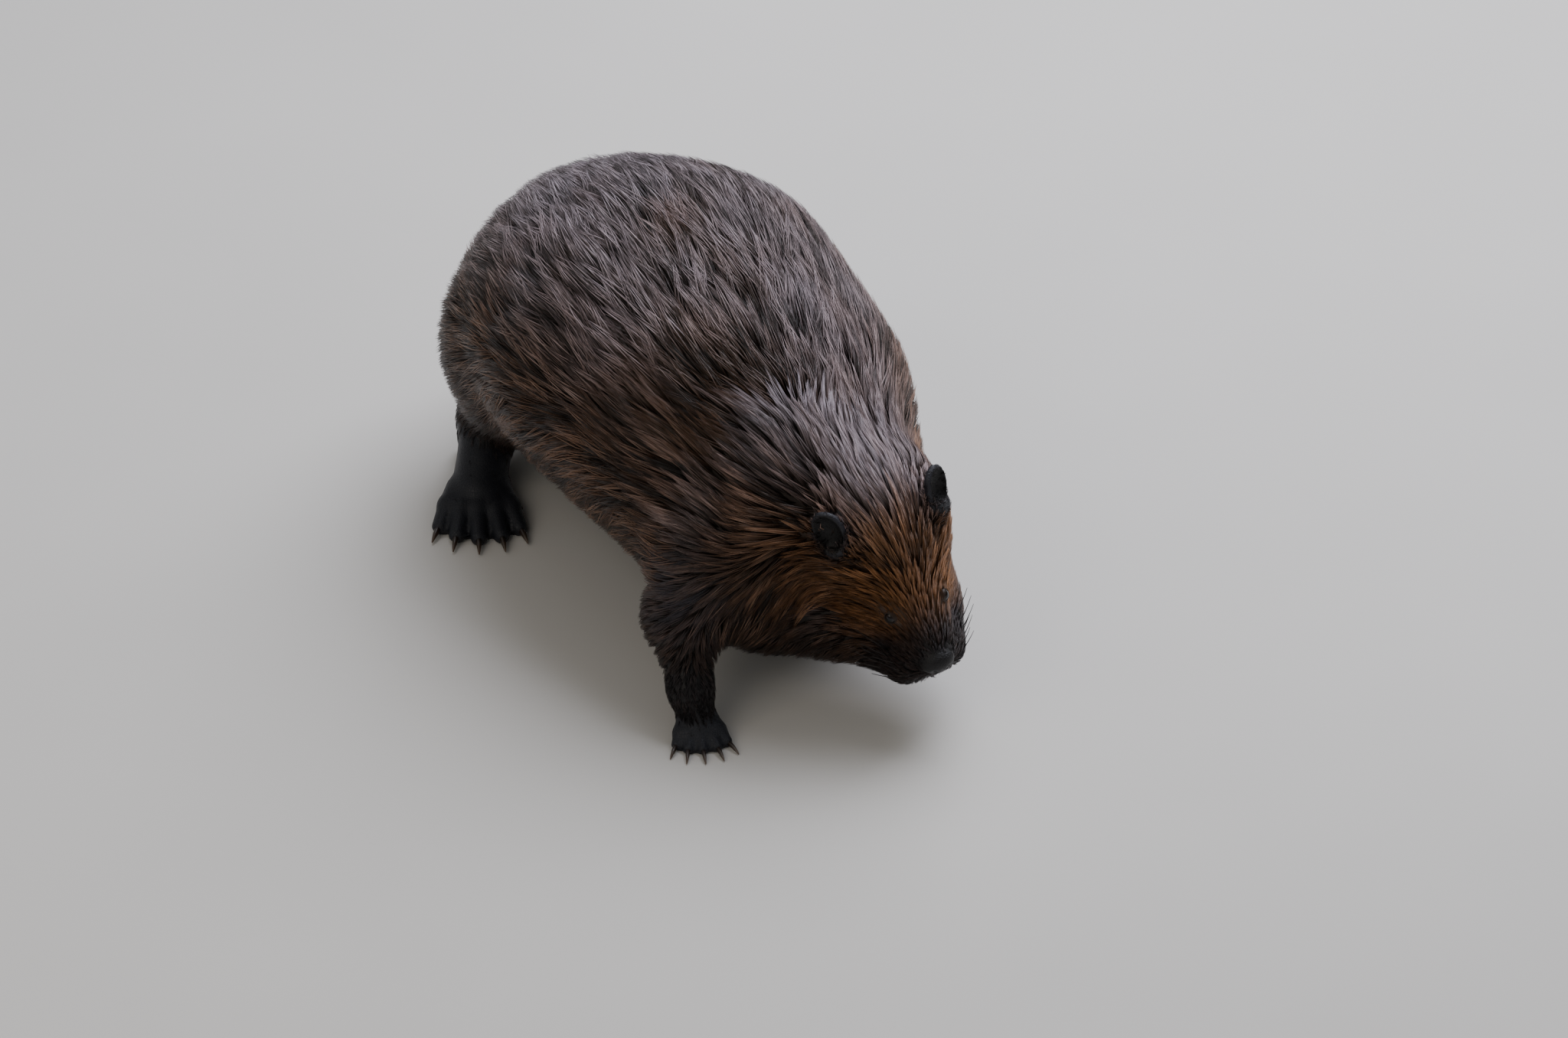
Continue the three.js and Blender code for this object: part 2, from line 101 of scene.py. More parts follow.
def turn(yaw=0.0, pitch=0.0, roll=0.0):
    """The matrix of a roll about X, then a nose-down pitch about Y, then a yaw about Z (degrees)."""
    angles = np.radians([yaw, pitch, roll])
    (cy, cp, cr), (sy, sp, sr) = np.cos(angles), np.sin(angles)
    about_z = np.array([[cy, -sy, 0], [sy, cy, 0], [0, 0, 1]])
    about_y = np.array([[cp, 0, sp], [0, 1, 0], [-sp, 0, cp]])
    about_x = np.array([[1, 0, 0], [0, cr, -sr], [0, sr, cr]])
    return about_z @ about_y @ about_x


HEAD_AT = np.array([177.0, 75.0, 189.0])
HEAD = turn(yaw=-1.5, pitch=37, roll=14)
EYE = np.array([84.0, 26.0, -5.5])
EYE_RADIUS = 6.0
EAR = np.array([0.0, 52.0, 35.0])
NOSE_TIP = 144.0
NOSE_PAD = (11.0, 16.0, 12.5)
SIDES = {"right": -1, "left": 1}
print("the nose points along", np.round(HEAD[:, 0], 2), "in the body's frame")

# %% [markdown]
# ## From the head to the body to the row
# A place goes through two steps: out of the head's frame by the head's turn and place, then into
# the row's metres by one shift. Typing the shift in by hand would break as soon as the packed
# model moved, so it is measured from a part that both frames know.

# %% Steps between the frames


def in_head(x, y, z):
    """A place in the head's frame as a place in the body's frame."""
    return HEAD_AT + HEAD @ np.array([x, y, z], float)


def to_head(points):
    """Places in the body's frame as places in the head's frame."""
    return (points - HEAD_AT) @ HEAD


eye_low, eye_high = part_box("eye_right")
SHIFT = np.array((eye_low + eye_high) / 2) / MM - in_head(EYE[0], -EYE[1], EYE[2])


def to_row(points):
    """Millimetres in the body's frame to metres in the row's frame."""
    return (points + SHIFT) * MM


print("body frame to row frame:", np.round(SHIFT, 2), "mm")

# %% [markdown]
# ## What the coat is like, place by place
# A beaver's coat has a dense woolly undercoat and long flat guard hair. It is longest on back
# and flank, short on the head, very short on the muzzle, and leaves nose, feet and tail bare.
# Each kind of coat is one row of numbers here. Every mass of flesh below carries such a row,
# and where two masses run into each other their rows run into each other by the same share,
# so the coat changes softly from place to place and no border has to be drawn.
#
# Depth is how far the coat's outside lies over the skin, length and width are a strand's, and
# spacing is from lock to lock, all in millimetres. Lie is the way the hair points, and drop turns
# it down on steep sides. Warm and dark steer the colour, bare thins the hair out, lift makes it
# stand, plate is for the tail's scales, and trunk marks the coat that turns to belly coat low down.

# %% Kinds of coat
TRAITS = ["depth", "length", "width", "spacing", "lie_x", "lie_y", "lie_z", "drop",
          "warm", "dark", "bare", "lift", "plate", "trunk"]
COLUMN = {name: number for number, name in enumerate(TRAITS)}
BACKWARD = (-1, 0.1, 0.12)
HEAD_BACK = tuple(HEAD @ [-1, 0, 0.0])
HEAD_CHEEK = tuple(HEAD @ [-1, 0, -0.25])
EAR_UP = tuple(HEAD @ [-0.7, 0, 0.7])


def coat(depth, length, width, spacing, lie, drop=0.0, warm=0.0, dark=0.0,
         bare=0.0, lift=0.0, plate=0.0, trunk=0.0):
    """One row: sizes in mm, the way the hair points, and shares from 0 to 1."""
    return np.array([depth, length, width, spacing, *lie, drop, warm, dark, bare, lift, plate, trunk], float)


COATS = {
    "rump": coat(12, 26, 0.75, 5.0, (-1, 0, -0.2), drop=1.0, lift=0.45, trunk=1.0),
    "back": coat(12, 48, 1.1, 6.3, BACKWARD, drop=1.0, warm=0.05, lift=0.06, trunk=1.0),
    "chest": coat(11, 46, 1.1, 6.1, BACKWARD, drop=1.0, warm=0.12, dark=0.1, lift=0.06, trunk=1.0),
    "belly": coat(10, 22, 0.85, 5.0, (-1, 0, -0.3), drop=0.5, warm=0.1, dark=0.1, lift=0.35),
    "shoulder": coat(9, 36, 1.05, 5.4, (-1, 0, 0), drop=0.8, warm=0.2, dark=0.05, lift=0.1, trunk=0.6),
    "neck": coat(9, 40, 1.1, 5.6, (-1, 0, 0.1), drop=0.45, warm=0.25, lift=0.08),
    "throat": coat(7, 24, 0.95, 4.8, (-0.8, 0, -0.5), warm=0.15, dark=0.5, lift=0.2),
    "crown": coat(4.5, 27, 0.9, 3.6, HEAD_BACK, drop=0.1, warm=0.6, lift=0.03),
    "cheek": coat(5, 20, 0.8, 3.6, HEAD_CHEEK, drop=0.3, warm=0.6, dark=0.36, lift=0.08),
    "face": coat(2.6, 15, 0.65, 2.8, HEAD_BACK, warm=0.9),
    "bridge": coat(2.2, 10, 0.6, 2.5, HEAD_BACK, warm=0.6, dark=0.8),
    "lip": coat(2.0, 8, 0.55, 2.4, HEAD_CHEEK, warm=0.5, dark=0.8),
    "jaw": coat(5, 17, 0.8, 3.8, HEAD_CHEEK, warm=0.5, dark=0.5, lift=0.1),
    "nose": coat(0.2, 3, 0.5, 3.0, HEAD_BACK, dark=1.0, bare=1.0),
    "ear": coat(0.8, 4, 0.5, 2.8, EAR_UP, dark=1.0, bare=0.7),
    "thigh": coat(9, 25, 0.95, 5.2, (-0.75, 0, -0.6), warm=0.05, dark=0.45, lift=0.4),
    "shank": coat(3.5, 13, 0.75, 4.0, (-0.3, 0, -1), dark=0.9),
    "foot": coat(0.3, 4, 0.6, 3.4, (0.6, 0, -1), dark=1.0, bare=0.97),
    "arm": coat(8, 27, 1.0, 5.2, (-1, 0, -0.35), warm=0.15, dark=0.2, lift=0.2),
    "forearm": coat(4, 15, 0.8, 3.8, (-0.3, 0, -1), dark=0.85, lift=0.05),
    "paw": coat(0.9, 6, 0.6, 2.9, (0.7, 0, -0.7), dark=1.0, bare=0.6),
    "toe": coat(0.3, 3, 0.5, 3.0, (1, 0, -0.3), dark=1.0, bare=0.97),
    "tail root": coat(6, 24, 0.95, 4.8, (-0.84, 0.42, -0.34), dark=0.3, lift=0.2),
    "blade": coat(0.8, 4, 0.6, 4.0, (-0.84, 0.42, 0), dark=1.0, bare=1.0, plate=1.0),
}
print(len(COATS), "kinds of coat, with", len(TRAITS), "traits each")

# %% [markdown]
# ## The flesh as a distance
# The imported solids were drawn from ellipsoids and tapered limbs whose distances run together
# with a soft minimum. A sculptor would model this in clay, and Blender's metaballs come close,
# but only the same sum gives the same body. So the sum is repeated here, over whole arrays.
# Each part also says inside which box it can matter, so that far points skip it.

# %% Ellipsoids and limbs
flesh = []
REACH = 40.0


def add_flesh(kind, blend, low, high, distance):
    """Notes a part: its coat, how softly it joins the parts before it, its box and its distance."""
    room = blend + REACH
    flesh.append({"coat": COATS[kind], "blend": blend, "distance": distance,
                  "low": low - room, "high": high + room})


def ball(kind, at, size, blend, frame=np.eye(3), **angles):
    """An ellipsoid's distance: |q| (|q| - 1) / |q / size|, where q is the place over the half sizes."""
    axes = frame @ turn(**angles)
    at, size = np.array(at, float), np.array(size, float)
    half = np.sqrt(((axes * size) ** 2).sum(1))

    def distance(x, y, z):
        x, y, z = x - at[0], y - at[1], z - at[2]
        q = [(axes[0, i] * x + axes[1, i] * y + axes[2, i] * z) / size[i] for i in range(3)]
        near = np.sqrt(q[0] ** 2 + q[1] ** 2 + q[2] ** 2)
        return near * (near - 1) / (np.sqrt(sum((q[i] / size[i]) ** 2 for i in range(3))) + 1e-9)

    add_flesh(kind, blend, at - half, at + half, distance)


def limb(kind, start, end, radii, blend, squash=1.0):
    """A round limb: the distance from its axis, less a radius that runs from one to the other."""
    start, end = np.array(start, float), np.array(end, float)
    run = (end - start) * [1, 1, squash]

    def distance(x, y, z):
        x, y, z = x - start[0], y - start[1], (z - start[2]) * squash
        t = np.clip((x * run[0] + y * run[1] + z * run[2]) / (run @ run), 0, 1)
        away = np.sqrt((x - t * run[0]) ** 2 + (y - t * run[1]) ** 2 + (z - t * run[2]) ** 2)
        return away - radii[0] - (radii[1] - radii[0]) * t

    wide = max(radii)
    add_flesh(kind, blend, np.minimum(start, end) - wide, np.maximum(start, end) + wide, distance)


print("each part counts up to", REACH, "mm beyond its soft join")

# %% [markdown]
# ## Trunk, neck and head
# The trunk is three great ellipsoids with the shoulder on them, the neck and throat are short
# limbs, and the skull is a crown, face and bridge with full cheeks, which a gnawing animal's
# jaw muscles give it. Each joins what is there already, so the order is part of the shape.

# %% Trunk, neck and head


def head_mass(kind, x, y, z, size, blend, pitch=0.0):
    """An ellipsoid that is placed and turned with the head."""
    ball(kind, in_head(x, y, z), size, blend, frame=HEAD, pitch=pitch)


ball("rump", (-260, 57, 183), (128, 140, 136), 0)
ball("back", (-150, 62, 208), (164, 176, 161), 60, pitch=6)
ball("chest", (-10, 57, 189), (144, 160, 145), 70, pitch=14)
ball("shoulder", (70, 36, 152), (90, 108, 112), 60)
limb("neck", (92, 52, 186), (152, 78, 184), (94, 68), 50)
limb("throat", (100, 0, 80), (165, 50, 85), (45, 42), 30)
head_mass("crown", 6, 0, -8, (64, 56, 48), 40)
for side in SIDES.values():
    head_mass("cheek", 22, side * 28, -36, (46, 23, 36), 22)
head_mass("face", 68, 0, -22, (52, 34, 33), 25, 10)
head_mass("bridge", 110, 0, -39, (31, 26, 30), 18)
for side in SIDES.values():
    head_mass("cheek", 56, side * 31, -72, (54, 28, 40), 20)
head_mass("jaw", 77, 0, -86, (58, 38, 35), 24)
head_mass("jaw", 18, 0, -86, (58, 42, 40), 30)
for side in SIDES.values():
    head_mass("lip", 111, side * 20, -62, (25, 20, 26), 12)
head_mass("nose", NOSE_TIP - NOSE_PAD[0], 0, -26, NOSE_PAD, 7)
print(len(flesh), "parts make the trunk, neck and head")

# %% [markdown]
# ## Toes
# The hind foot is long, flat and webbed, the fore paw is small with free fingers. Both are a
# fan of five toes arched over a knuckle, so one function draws all four and notes where each
# claw goes. Mirroring a finished foot would save nothing, since each points its own way.

# %% Toes
TOE_SHARES = [0.74, 0.94, 1.0, 0.97, 0.82]
HIND_TOE = {"reach": 64, "spread": 10, "pitch": 11, "radius": 10.5, "web": 8.5}
FORE_TOE = {"reach": 32, "spread": 13, "pitch": 6.5, "radius": 7, "web": 6}
KNUCKLE_HEIGHT, TIP_HEIGHT = 1.35, 0.62
claws = {}


def step(heading):
    """A unit step along the ground, at a heading in degrees to the left of X."""
    return np.array([np.cos(np.radians(heading)), np.sin(np.radians(heading)), 0.0])


def toes(foot, kind, side, root, heading, reach, spread, pitch, radius, web):
    """Five toes fanned from a root, each arched over its knuckle, with a web low between them."""
    across = step(heading + 90)
    starts, tips = [], []
    for number, share in enumerate(TOE_SHARES):
        place = (number - 2) * -side
        along = step(heading + place * spread)
        start = np.array(root, float) + across * place * pitch - along * 0.1 * reach
        knuckle = start + along * 0.5 * share * reach
        tip = start + along * share * reach
        knuckle[2], tip[2] = radius * KNUCKLE_HEIGHT, radius * TIP_HEIGHT
        thick = radius * (0.86 + 0.14 * share)
        limb(kind, start, knuckle, (thick * 1.1, thick), 8)
        limb(kind, knuckle, tip, (thick, thick * 0.78), 5)
        claws[f"{foot}_claw_{number + 1}"] = (tip, along, thick * 0.3)
        starts.append(start)
        tips.append(tip)
    for number in range(len(TOE_SHARES) - 1):
        begin = (starts[number] + starts[number + 1]) / 2
        end = (tips[number] + tips[number + 1]) / 2 * 0.8 + begin * 0.2
        begin[2], end[2] = 3, 2
        limb(kind, begin, end, (web * 1.2, web), 6, squash=1.1)


print("toes reach", HIND_TOE["reach"], "mm behind and", FORE_TOE["reach"], "mm in front")

# %% [markdown]
# ## Legs
# A beaver's legs are short and half hidden in the coat. A hind leg is a heavy thigh, a shank
# and a long flat sole. A fore leg is an arm, a forearm and a palm. Two functions say what a leg
# is, and each leg then only gives its joints, which differ because the animal is in mid step.

# %% Legs


def hind_leg(foot, side, thigh, knee, ankle, heel, pad, heading):
    """Thigh, shank and sole, with the toes fanned from the sole's pad."""
    ball("thigh", thigh, (91, 84, 98), 22)
    limb("shank", knee, ankle, (46, 28), 24)
    limb("foot", ankle, heel, (27, 20), 14)
    limb("foot", heel, pad, (20, 19), 14, squash=1.15)
    limb("foot", ankle, pad, (27, 24), 14)
    toes(foot, "foot", side, pad, heading, **HIND_TOE)


def fore_leg(foot, side, shoulder, elbow, wrist, palm, heading):
    """Arm, forearm and palm, with the fingers fanned from the palm."""
    limb("arm", shoulder, elbow, (58, 36), 40)
    limb("forearm", elbow, wrist, (34, 20), 22)
    limb("paw", wrist, palm, (19, 16), 14)
    toes(foot, "toe", side, palm, heading, **FORE_TOE)


hind_leg("hind_foot_right", -1, (-290, -5, 146), (-273, -14, 105), (-320, -31, 56),
         (-345, -26, 20), (-269, -76, 17), -31)
hind_leg("hind_foot_left", 1, (-252, 136, 148), (-224, 166, 105), (-278, 168, 52),
         (-300, 166, 19), (-212, 180, 17), 10)
fore_leg("fore_paw_right", -1, (92, -40, 150), (94, -80, 95), (131, -96, 44), (143, -96, 14), -24)
fore_leg("fore_paw_left", 1, (72, 112, 145), (50, 130, 92), (68, 110, 44), (81, 104, 14), 0)
print(len(flesh), "parts with the legs")

# %% [markdown]
# ## Tail and ears
# The tail is a furred root that ends in a broad flat blade, laid on the ground and swung to one
# side. An ear is a small thick plate on a stub, cupped and turned half forward. Its directions
# are kept in a function, because the cup, the skin's tone and the hair all ask for them.

# %% Tail and ears
TAIL_AT = np.array([-520.0, 172.0, 9.0])
TAIL_SIZE = np.array([138.0, 62.0, 13.0])
TAIL_AXES = turn(yaw=152)
limb("tail root", (-335, 84, 118), (-428, 126, 26), (62, 27), 40)
ball("blade", TAIL_AT, TAIL_SIZE, 18, yaw=152)


def ear_axes(side):
    """An ear's own directions: out of its open face, across it, and from its root to its tip."""
    return HEAD @ turn(yaw=side * 48, pitch=-31, roll=side * -42)


for side in SIDES.values():
    ear_at = in_head(EAR[0], side * EAR[1], EAR[2])
    ball("ear", ear_at + ear_axes(side) @ [2, 0, -17], (11, 14, 12), 10, frame=ear_axes(side))
    ball("ear", ear_at, (8, 18, 23.5), 6, frame=ear_axes(side))
print(len(flesh), "parts of flesh,", len(claws), "claws")

# %% [markdown]
# ## Skin depth
# The solids are the coat's outside, so the skin is where the body's distance equals minus the
# coat's depth. To find it, the parts are joined one after another by a soft minimum, which also
# carries the coat's traits along. Under the feet the skin is cut flat by the floor, and under
# the tail half a millimetre higher, to leave room for scales.

# %% The soft minimum
SCALE_ROOM = 0.5


def smooth(low, high, value):
    """0 below low, 1 above high, and an even curve between them."""
    t = np.clip((value - low) / (high - low), 0, 1)
    return t * t * (3 - 2 * t)


def run_together(total, mix, part, columns, d):
    """One step of the soft minimum, for the distance and for the coat's traits alike."""
    if part["blend"]:
        h = np.clip(0.5 + 0.5 * (d - total) / part["blend"], 0, 1)
    else:
        h = (d > total).astype(total.dtype)
    mix += (1 - h)[..., None] * (part["coat"][columns].astype(mix.dtype) - mix)
    return d + (total - d) * h - part["blend"] * h * (1 - h)


print("half way up the even curve:", smooth(0, 2, 1.0))

# %% [markdown]
# ## The fold of the nape
# With the head down and to one side, the loose skin of the nape bunches into a low ridge with a
# valley behind it. It could be sculpted, but skin, hair and colours all have to know where it
# is, so it is a formula too: how far a place lies in front of the fold, and how strongly the
# fold shows there. It runs across the nape only, and fades out down both sides.

# %% The fold
FOLD_AT = np.array([108.0, 35.0, 293.0])
FOLD_ACROSS = np.array([0.654, -0.673, -0.345])
VALLEY_DEEP, VALLEY_HALF = 2.5, 12
RIDGE_HIGH, RIDGE_HALF, RIDGE_AHEAD = 3.5, 11, 22


def nape_fold(x, y, z):
    """How far in front of the nape's fold a place lies, in mm, and how strongly the fold shows there."""
    away = (x - FOLD_AT[0], y - FOLD_AT[1], z - FOLD_AT[2])
    ahead = away[0] * FOLD_ACROSS[0] + away[1] * FOLD_ACROSS[1] + away[2] * FOLD_ACROSS[2]
    ahead = ahead + 12 * smooth(50, 100, y)
    share = smooth(-60, -10, y) * (1 - smooth(40, 95, y)) * smooth(222, 245, z)
    return ahead, share


def fold_depth(x, y, z):
    """What the fold adds to the distance: a bell curve for the valley, less one for the ridge."""
    ahead, share = nape_fold(x, y, z)
    valley = VALLEY_DEEP * np.exp(-(ahead / VALLEY_HALF) ** 2)
    ridge = RIDGE_HIGH * np.exp(-((ahead - RIDGE_AHEAD) / RIDGE_HALF) ** 2)
    return share * (valley - ridge)


print("the fold adds", np.round(fold_depth(*FOLD_AT), 2), "mm to the distance at its middle")

# %% [markdown]
# ## Asking the body
# The skin, the hair and the colours ask the same three things at many points: how far the place
# lies from the coat's outside, which way the distance grows there, and what coat grows there.
# All three work on whole arrays, and each part of flesh answers only for the points in its box.

# %% Distance, traits and slope


def body(points, names=()):
    """The body's distance at each point, and the named traits there."""
    columns = [COLUMN[name] for name in names]
    total, mix = np.full(len(points), 1e3), np.zeros((len(points), len(columns)))
    for part in flesh:
        near = np.flatnonzero(((points > part["low"]) & (points < part["high"])).all(1))
        if len(near):
            local = mix[near]
            total[near] = run_together(total[near], local, part, columns, part["distance"](*points[near].T))
            mix[near] = local
    return total + fold_depth(*points.T), mix


BELLY_TOP = (75, 165)


def coat_at(points):
    """All the traits at each point, where the coat of the trunk turns to that of the belly low down."""
    traits = body(points, TRAITS)[1]
    share = traits[:, COLUMN["trunk"]] * (1 - smooth(*BELLY_TOP, points[:, 2]))
    low_coat = np.where(np.array(TRAITS) == "depth", traits, COATS["belly"])
    return traits + share[:, None] * (low_coat - traits)


def slope(points, distance, reach=0.5):
    """The distance's gradient: its change over a short step each way along X, Y and Z."""
    steps = np.eye(3) * reach
    return np.stack([(distance(points + s) - distance(points - s)) / (2 * reach) for s in steps], 1)


def unit(vectors):
    """The same directions with a length of one."""
    return vectors / np.maximum(np.linalg.norm(vectors, axis=-1, keepdims=True), 1e-9)


def body_distance(points):
    return body(points)[0]


nape_coat = coat_at(FOLD_AT[None])[0]
print("at the nape the coat is", round(nape_coat[COLUMN["depth"]], 1), "mm deep with hairs of",
      round(nape_coat[COLUMN["length"]], 1), "mm")

# %% [markdown]
# ## The skin's own distance
# The skin follows the coat's outside at the coat's depth. Round an eye that depth shrinks to a
# millimetre, because lids are nearly bare, and the floor cuts the soles flat.

# %% Under the coat
LID_COAT = 1.0


def near_eye(points):
    """How close each point is to an eye, from 0 far off to 1 at the lids."""
    away = to_head(points)
    away[:, 1] = np.abs(away[:, 1])
    return 1 - smooth(8, 24, np.linalg.norm(away - EYE, axis=1))


def skin_distance(points):
    """The skin's distance: the body's plus the coat's depth, and nothing below the floor."""
    total, mix = body(points, ("depth", "plate"))
    bare_ring = near_eye(points)
    depth = mix[:, 0] * (1 - bare_ring) + LID_COAT * bare_ring
    return np.maximum(total + depth, SCALE_ROOM * mix[:, 1] - points[:, 2])


print("the skin lies", round(skin_distance(FOLD_AT[None])[0] - body_distance(FOLD_AT[None])[0], 1),
      "mm under the coat at the nape")

# %% [markdown]
# ## From distance to skin
# The surface is drawn by surface nets: every lattice cell that the surface crosses gets one
# point, the mean of its crossed edges, and every crossed lattice edge gets one quad. Marching
# cubes would leave slivers, and Blender's voxel remesh needs a mesh to start from. Two Newton
# steps then settle each point on the true surface. The lattice is finer near the floor, where
# the toes are.

# %% The lattice
CELL = 5.6
LOW_CELL = 2.5
TOE_HEIGHT = 46.0
STEP_BETWEEN = 4.0
MARGIN = 12.0
low, high = np.array(cad_low) / MM - SHIFT - MARGIN, np.array(cad_high) / MM - SHIFT + MARGIN
xs, ys = np.arange(low[0], high[0], CELL), np.arange(low[1], high[1], CELL)
zs = np.concatenate([np.arange(-0.5 * LOW_CELL, TOE_HEIGHT, LOW_CELL),
                     np.arange(TOE_HEIGHT + STEP_BETWEEN, high[2], CELL)])


def lattice_distance():
    """The skin's distance on the lattice, each part worked out only inside its own box."""
    columns = [COLUMN["depth"], COLUMN["plate"]]
    total = np.full((len(xs), len(ys), len(zs)), 1e3, np.float32)
    mix = np.zeros(total.shape + (2,), np.float32)
    for part in flesh:
        box = tuple(slice(*np.searchsorted(line, (part["low"][i], part["high"][i])))
                    for i, line in enumerate((xs, ys, zs)))
        x, y, z = np.ix_(xs[box[0]], ys[box[1]], zs[box[2]])
        local = mix[box]
        total[box] = run_together(total[box], local, part, columns, part["distance"](x, y, z))
        mix[box] = local
    total += fold_depth(*np.ix_(xs, ys, zs)).astype(np.float32)
    return np.maximum(total + mix[..., 0], SCALE_ROOM * mix[..., 1] - zs)


skin_values = lattice_distance()
print("lattice of", skin_values.shape, "places,", int((skin_values < 0).sum()), "of them inside the skin")

# %% [markdown]
# ## Surface nets
# Where the distance changes its sign along a lattice edge, the skin passes through the four
# cells round that edge. Those four cells' points make a quad, turned so that it faces outwards.

# %% Surface nets


def surface_nets(values):
    """One point for each crossed cell and one quad for each crossed edge, facing out."""
    lines = (xs, ys, zs)
    strides = (values.shape[1] * values.shape[2], values.shape[2], 1)
    cells, places, quads = [], [], []
    for axis in range(3):
        side, other = (axis + 1) % 3, (axis + 2) % 3
        here = np.take(values, range(values.shape[axis] - 1), axis)
        there = np.take(values, range(1, values.shape[axis]), axis)
        crossed = np.argwhere((here < 0) != (there < 0))
        a, b = here[tuple(crossed.T)], there[tuple(crossed.T)]
        place = np.stack([lines[i][crossed[:, i]] for i in range(3)], 1)
        gap = lines[axis][crossed[:, axis] + 1] - place[:, axis]
        place[:, axis] += gap * a / (a - b)
        first = crossed @ strides
        corners = np.stack([first, first - strides[side], first - strides[side] - strides[other],
                            first - strides[other]], 1)
        quads.append(np.where((a < 0)[:, None], corners, corners[:, ::-1]))
        cells.append(corners.ravel())
        places.append(np.repeat(place, 4, axis=0))
    cells, places, quads = np.concatenate(cells), np.concatenate(places), np.concatenate(quads)
    used, order = np.unique(cells, return_inverse=True)
    hits = np.bincount(order)
    points = np.stack([np.bincount(order, places[:, i]) / hits for i in range(3)], 1)
    return points, np.searchsorted(used, quads)


def settle(points, stride, rounds=2):
    """Moves points on to the skin by Newton steps, none longer than stride."""
    for _ in range(rounds):
        grade = slope(points, skin_distance)
        move = -skin_distance(points)[:, None] * grade / np.maximum((grade ** 2).sum(1, keepdims=True), 0.05)
        size = np.linalg.norm(move, axis=1, keepdims=True)
        points = points + move * np.minimum(1, stride / np.maximum(size, 1e-9))
    return points


points, quads = surface_nets(skin_values)
points = settle(points, CELL / 3)
print("surface nets give", len(points), "points,", len(quads), "quads")

# %% [markdown]
# ## Finer skin where it shows
# Under long hair cells of nearly six millimetres are enough. The front of the head and the feet
# are divided once, snout, ears and the skin round the eyes twice, and the lids three times, each
# time settling the new points on the skin. A multiresolution modifier would divide it all alike.

# %% Divide the skin near a feature
skin_mesh = bpy.data.meshes.new("skin")
skin_mesh.from_pydata(points, [], quads)
bm = bmesh.new()
bm.from_mesh(skin_mesh)


def places(mesh):
    """The points of a mesh under edit, as an array in millimetres."""
    return np.array([v.co for v in mesh.verts])


def divide(wanted, stride):
    """Cuts every edge whose two ends are wanted in half, and settles all the wanted points."""
    mask = wanted(places(bm))
    bm.verts.ensure_lookup_table()
    edges = [e for e in bm.edges if mask[e.verts[0].index] and mask[e.verts[1].index]]
    bmesh.ops.subdivide_edges(bm, edges=edges, cuts=1, use_grid_fill=True)
    bm.verts.index_update()
    now = places(bm)
    near = np.flatnonzero(wanted(now))
    now[near] = settle(now[near], stride, rounds=1)
    for vertex, place in zip(bm.verts, now):
        vertex.co = place


print("coarse skin:", len(bm.verts), "points")

# %% [markdown]
# ## The features to divide
# Each feature is a test on places: the head's front, the parts of the face with the ears and
# toes, and the rims of the eyes. The closer the feature, the shorter the settling steps, so that
# no point can jump over its neighbours.

# %% Features
HEAD_REAR = -34
SNOUT_FRONT = 118
EAR_ROOM, EYE_ROOM, LID_ROOM = 27, 15, 11
FOOT_TOP, FOOT_ROOM = 30, 74.0
FEET = ("hind_foot_right", "hind_foot_left", "fore_paw_right", "fore_paw_left")
FOOT_SPOTS = np.array([np.mean([claws[f"{foot}_claw_{n}"][0] for n in range(1, 6)], axis=0)[:2]
                       for foot in FEET])


def about_eyes(local):
    """How far places in the head's frame are from the nearer eye."""
    return np.linalg.norm(np.abs(local) * [1, 1, 0] + local * [0, 0, 1] - EYE, axis=1)


def about_ears(local):
    """How far places in the head's frame are from the nearer ear."""
    return np.linalg.norm(np.abs(local) * [0, 1, 0] + local * [1, 0, 1] - EAR, axis=1)


def on_head(p):
    return to_head(p)[:, 0] > HEAD_REAR


def on_face_parts(p):
    """Round the eyes, on the nose and lips, on the ears, and on the toes."""
    local = to_head(p)
    low_down = p[:, 2] < FOOT_TOP
    toe = low_down & (np.linalg.norm(p[:, None, :2] - FOOT_SPOTS[None], axis=2) < FOOT_ROOM).any(1)
    return (about_eyes(local) < EYE_ROOM) | (local[:, 0] > SNOUT_FRONT) | (about_ears(local) < EAR_ROOM) | toe


def on_lids(p):
    return about_eyes(to_head(p)) < LID_ROOM


divide(on_head, CELL / 6)
divide(on_face_parts, CELL / 12)
divide(on_lids, CELL / 24)
print("skin now", len(bm.verts), "points")

# %% [markdown]
# ## Lids
# Lids, nostrils, mouth and ear cups are pressed into the settled skin by formula. A sculpt brush
# would do it by eye, but a formula gives both sides the same shape. The lid is a low mound with
# an almond opening, whose wall drops under the eyeball.

# %% Lids
EYE_SINK = 1.2
LID_LONG, LID_HIGH, LID_REACH = 5.2, 4.1, 11.5


def eye_axes(side):
    """The eye's outward, forward and upward directions, from the slope of the body there."""
    centre = in_head(EYE[0], side * EYE[1], EYE[2])
    out = unit(slope(centre[None] + HEAD @ [0, side * 3.0, 0], body_distance))[0]
    forward = unit(HEAD @ [1, 0, 0] - out * (HEAD[:, 0] @ out))
    return centre - out * EYE_SINK, out, forward, np.cross(forward, out) * -side


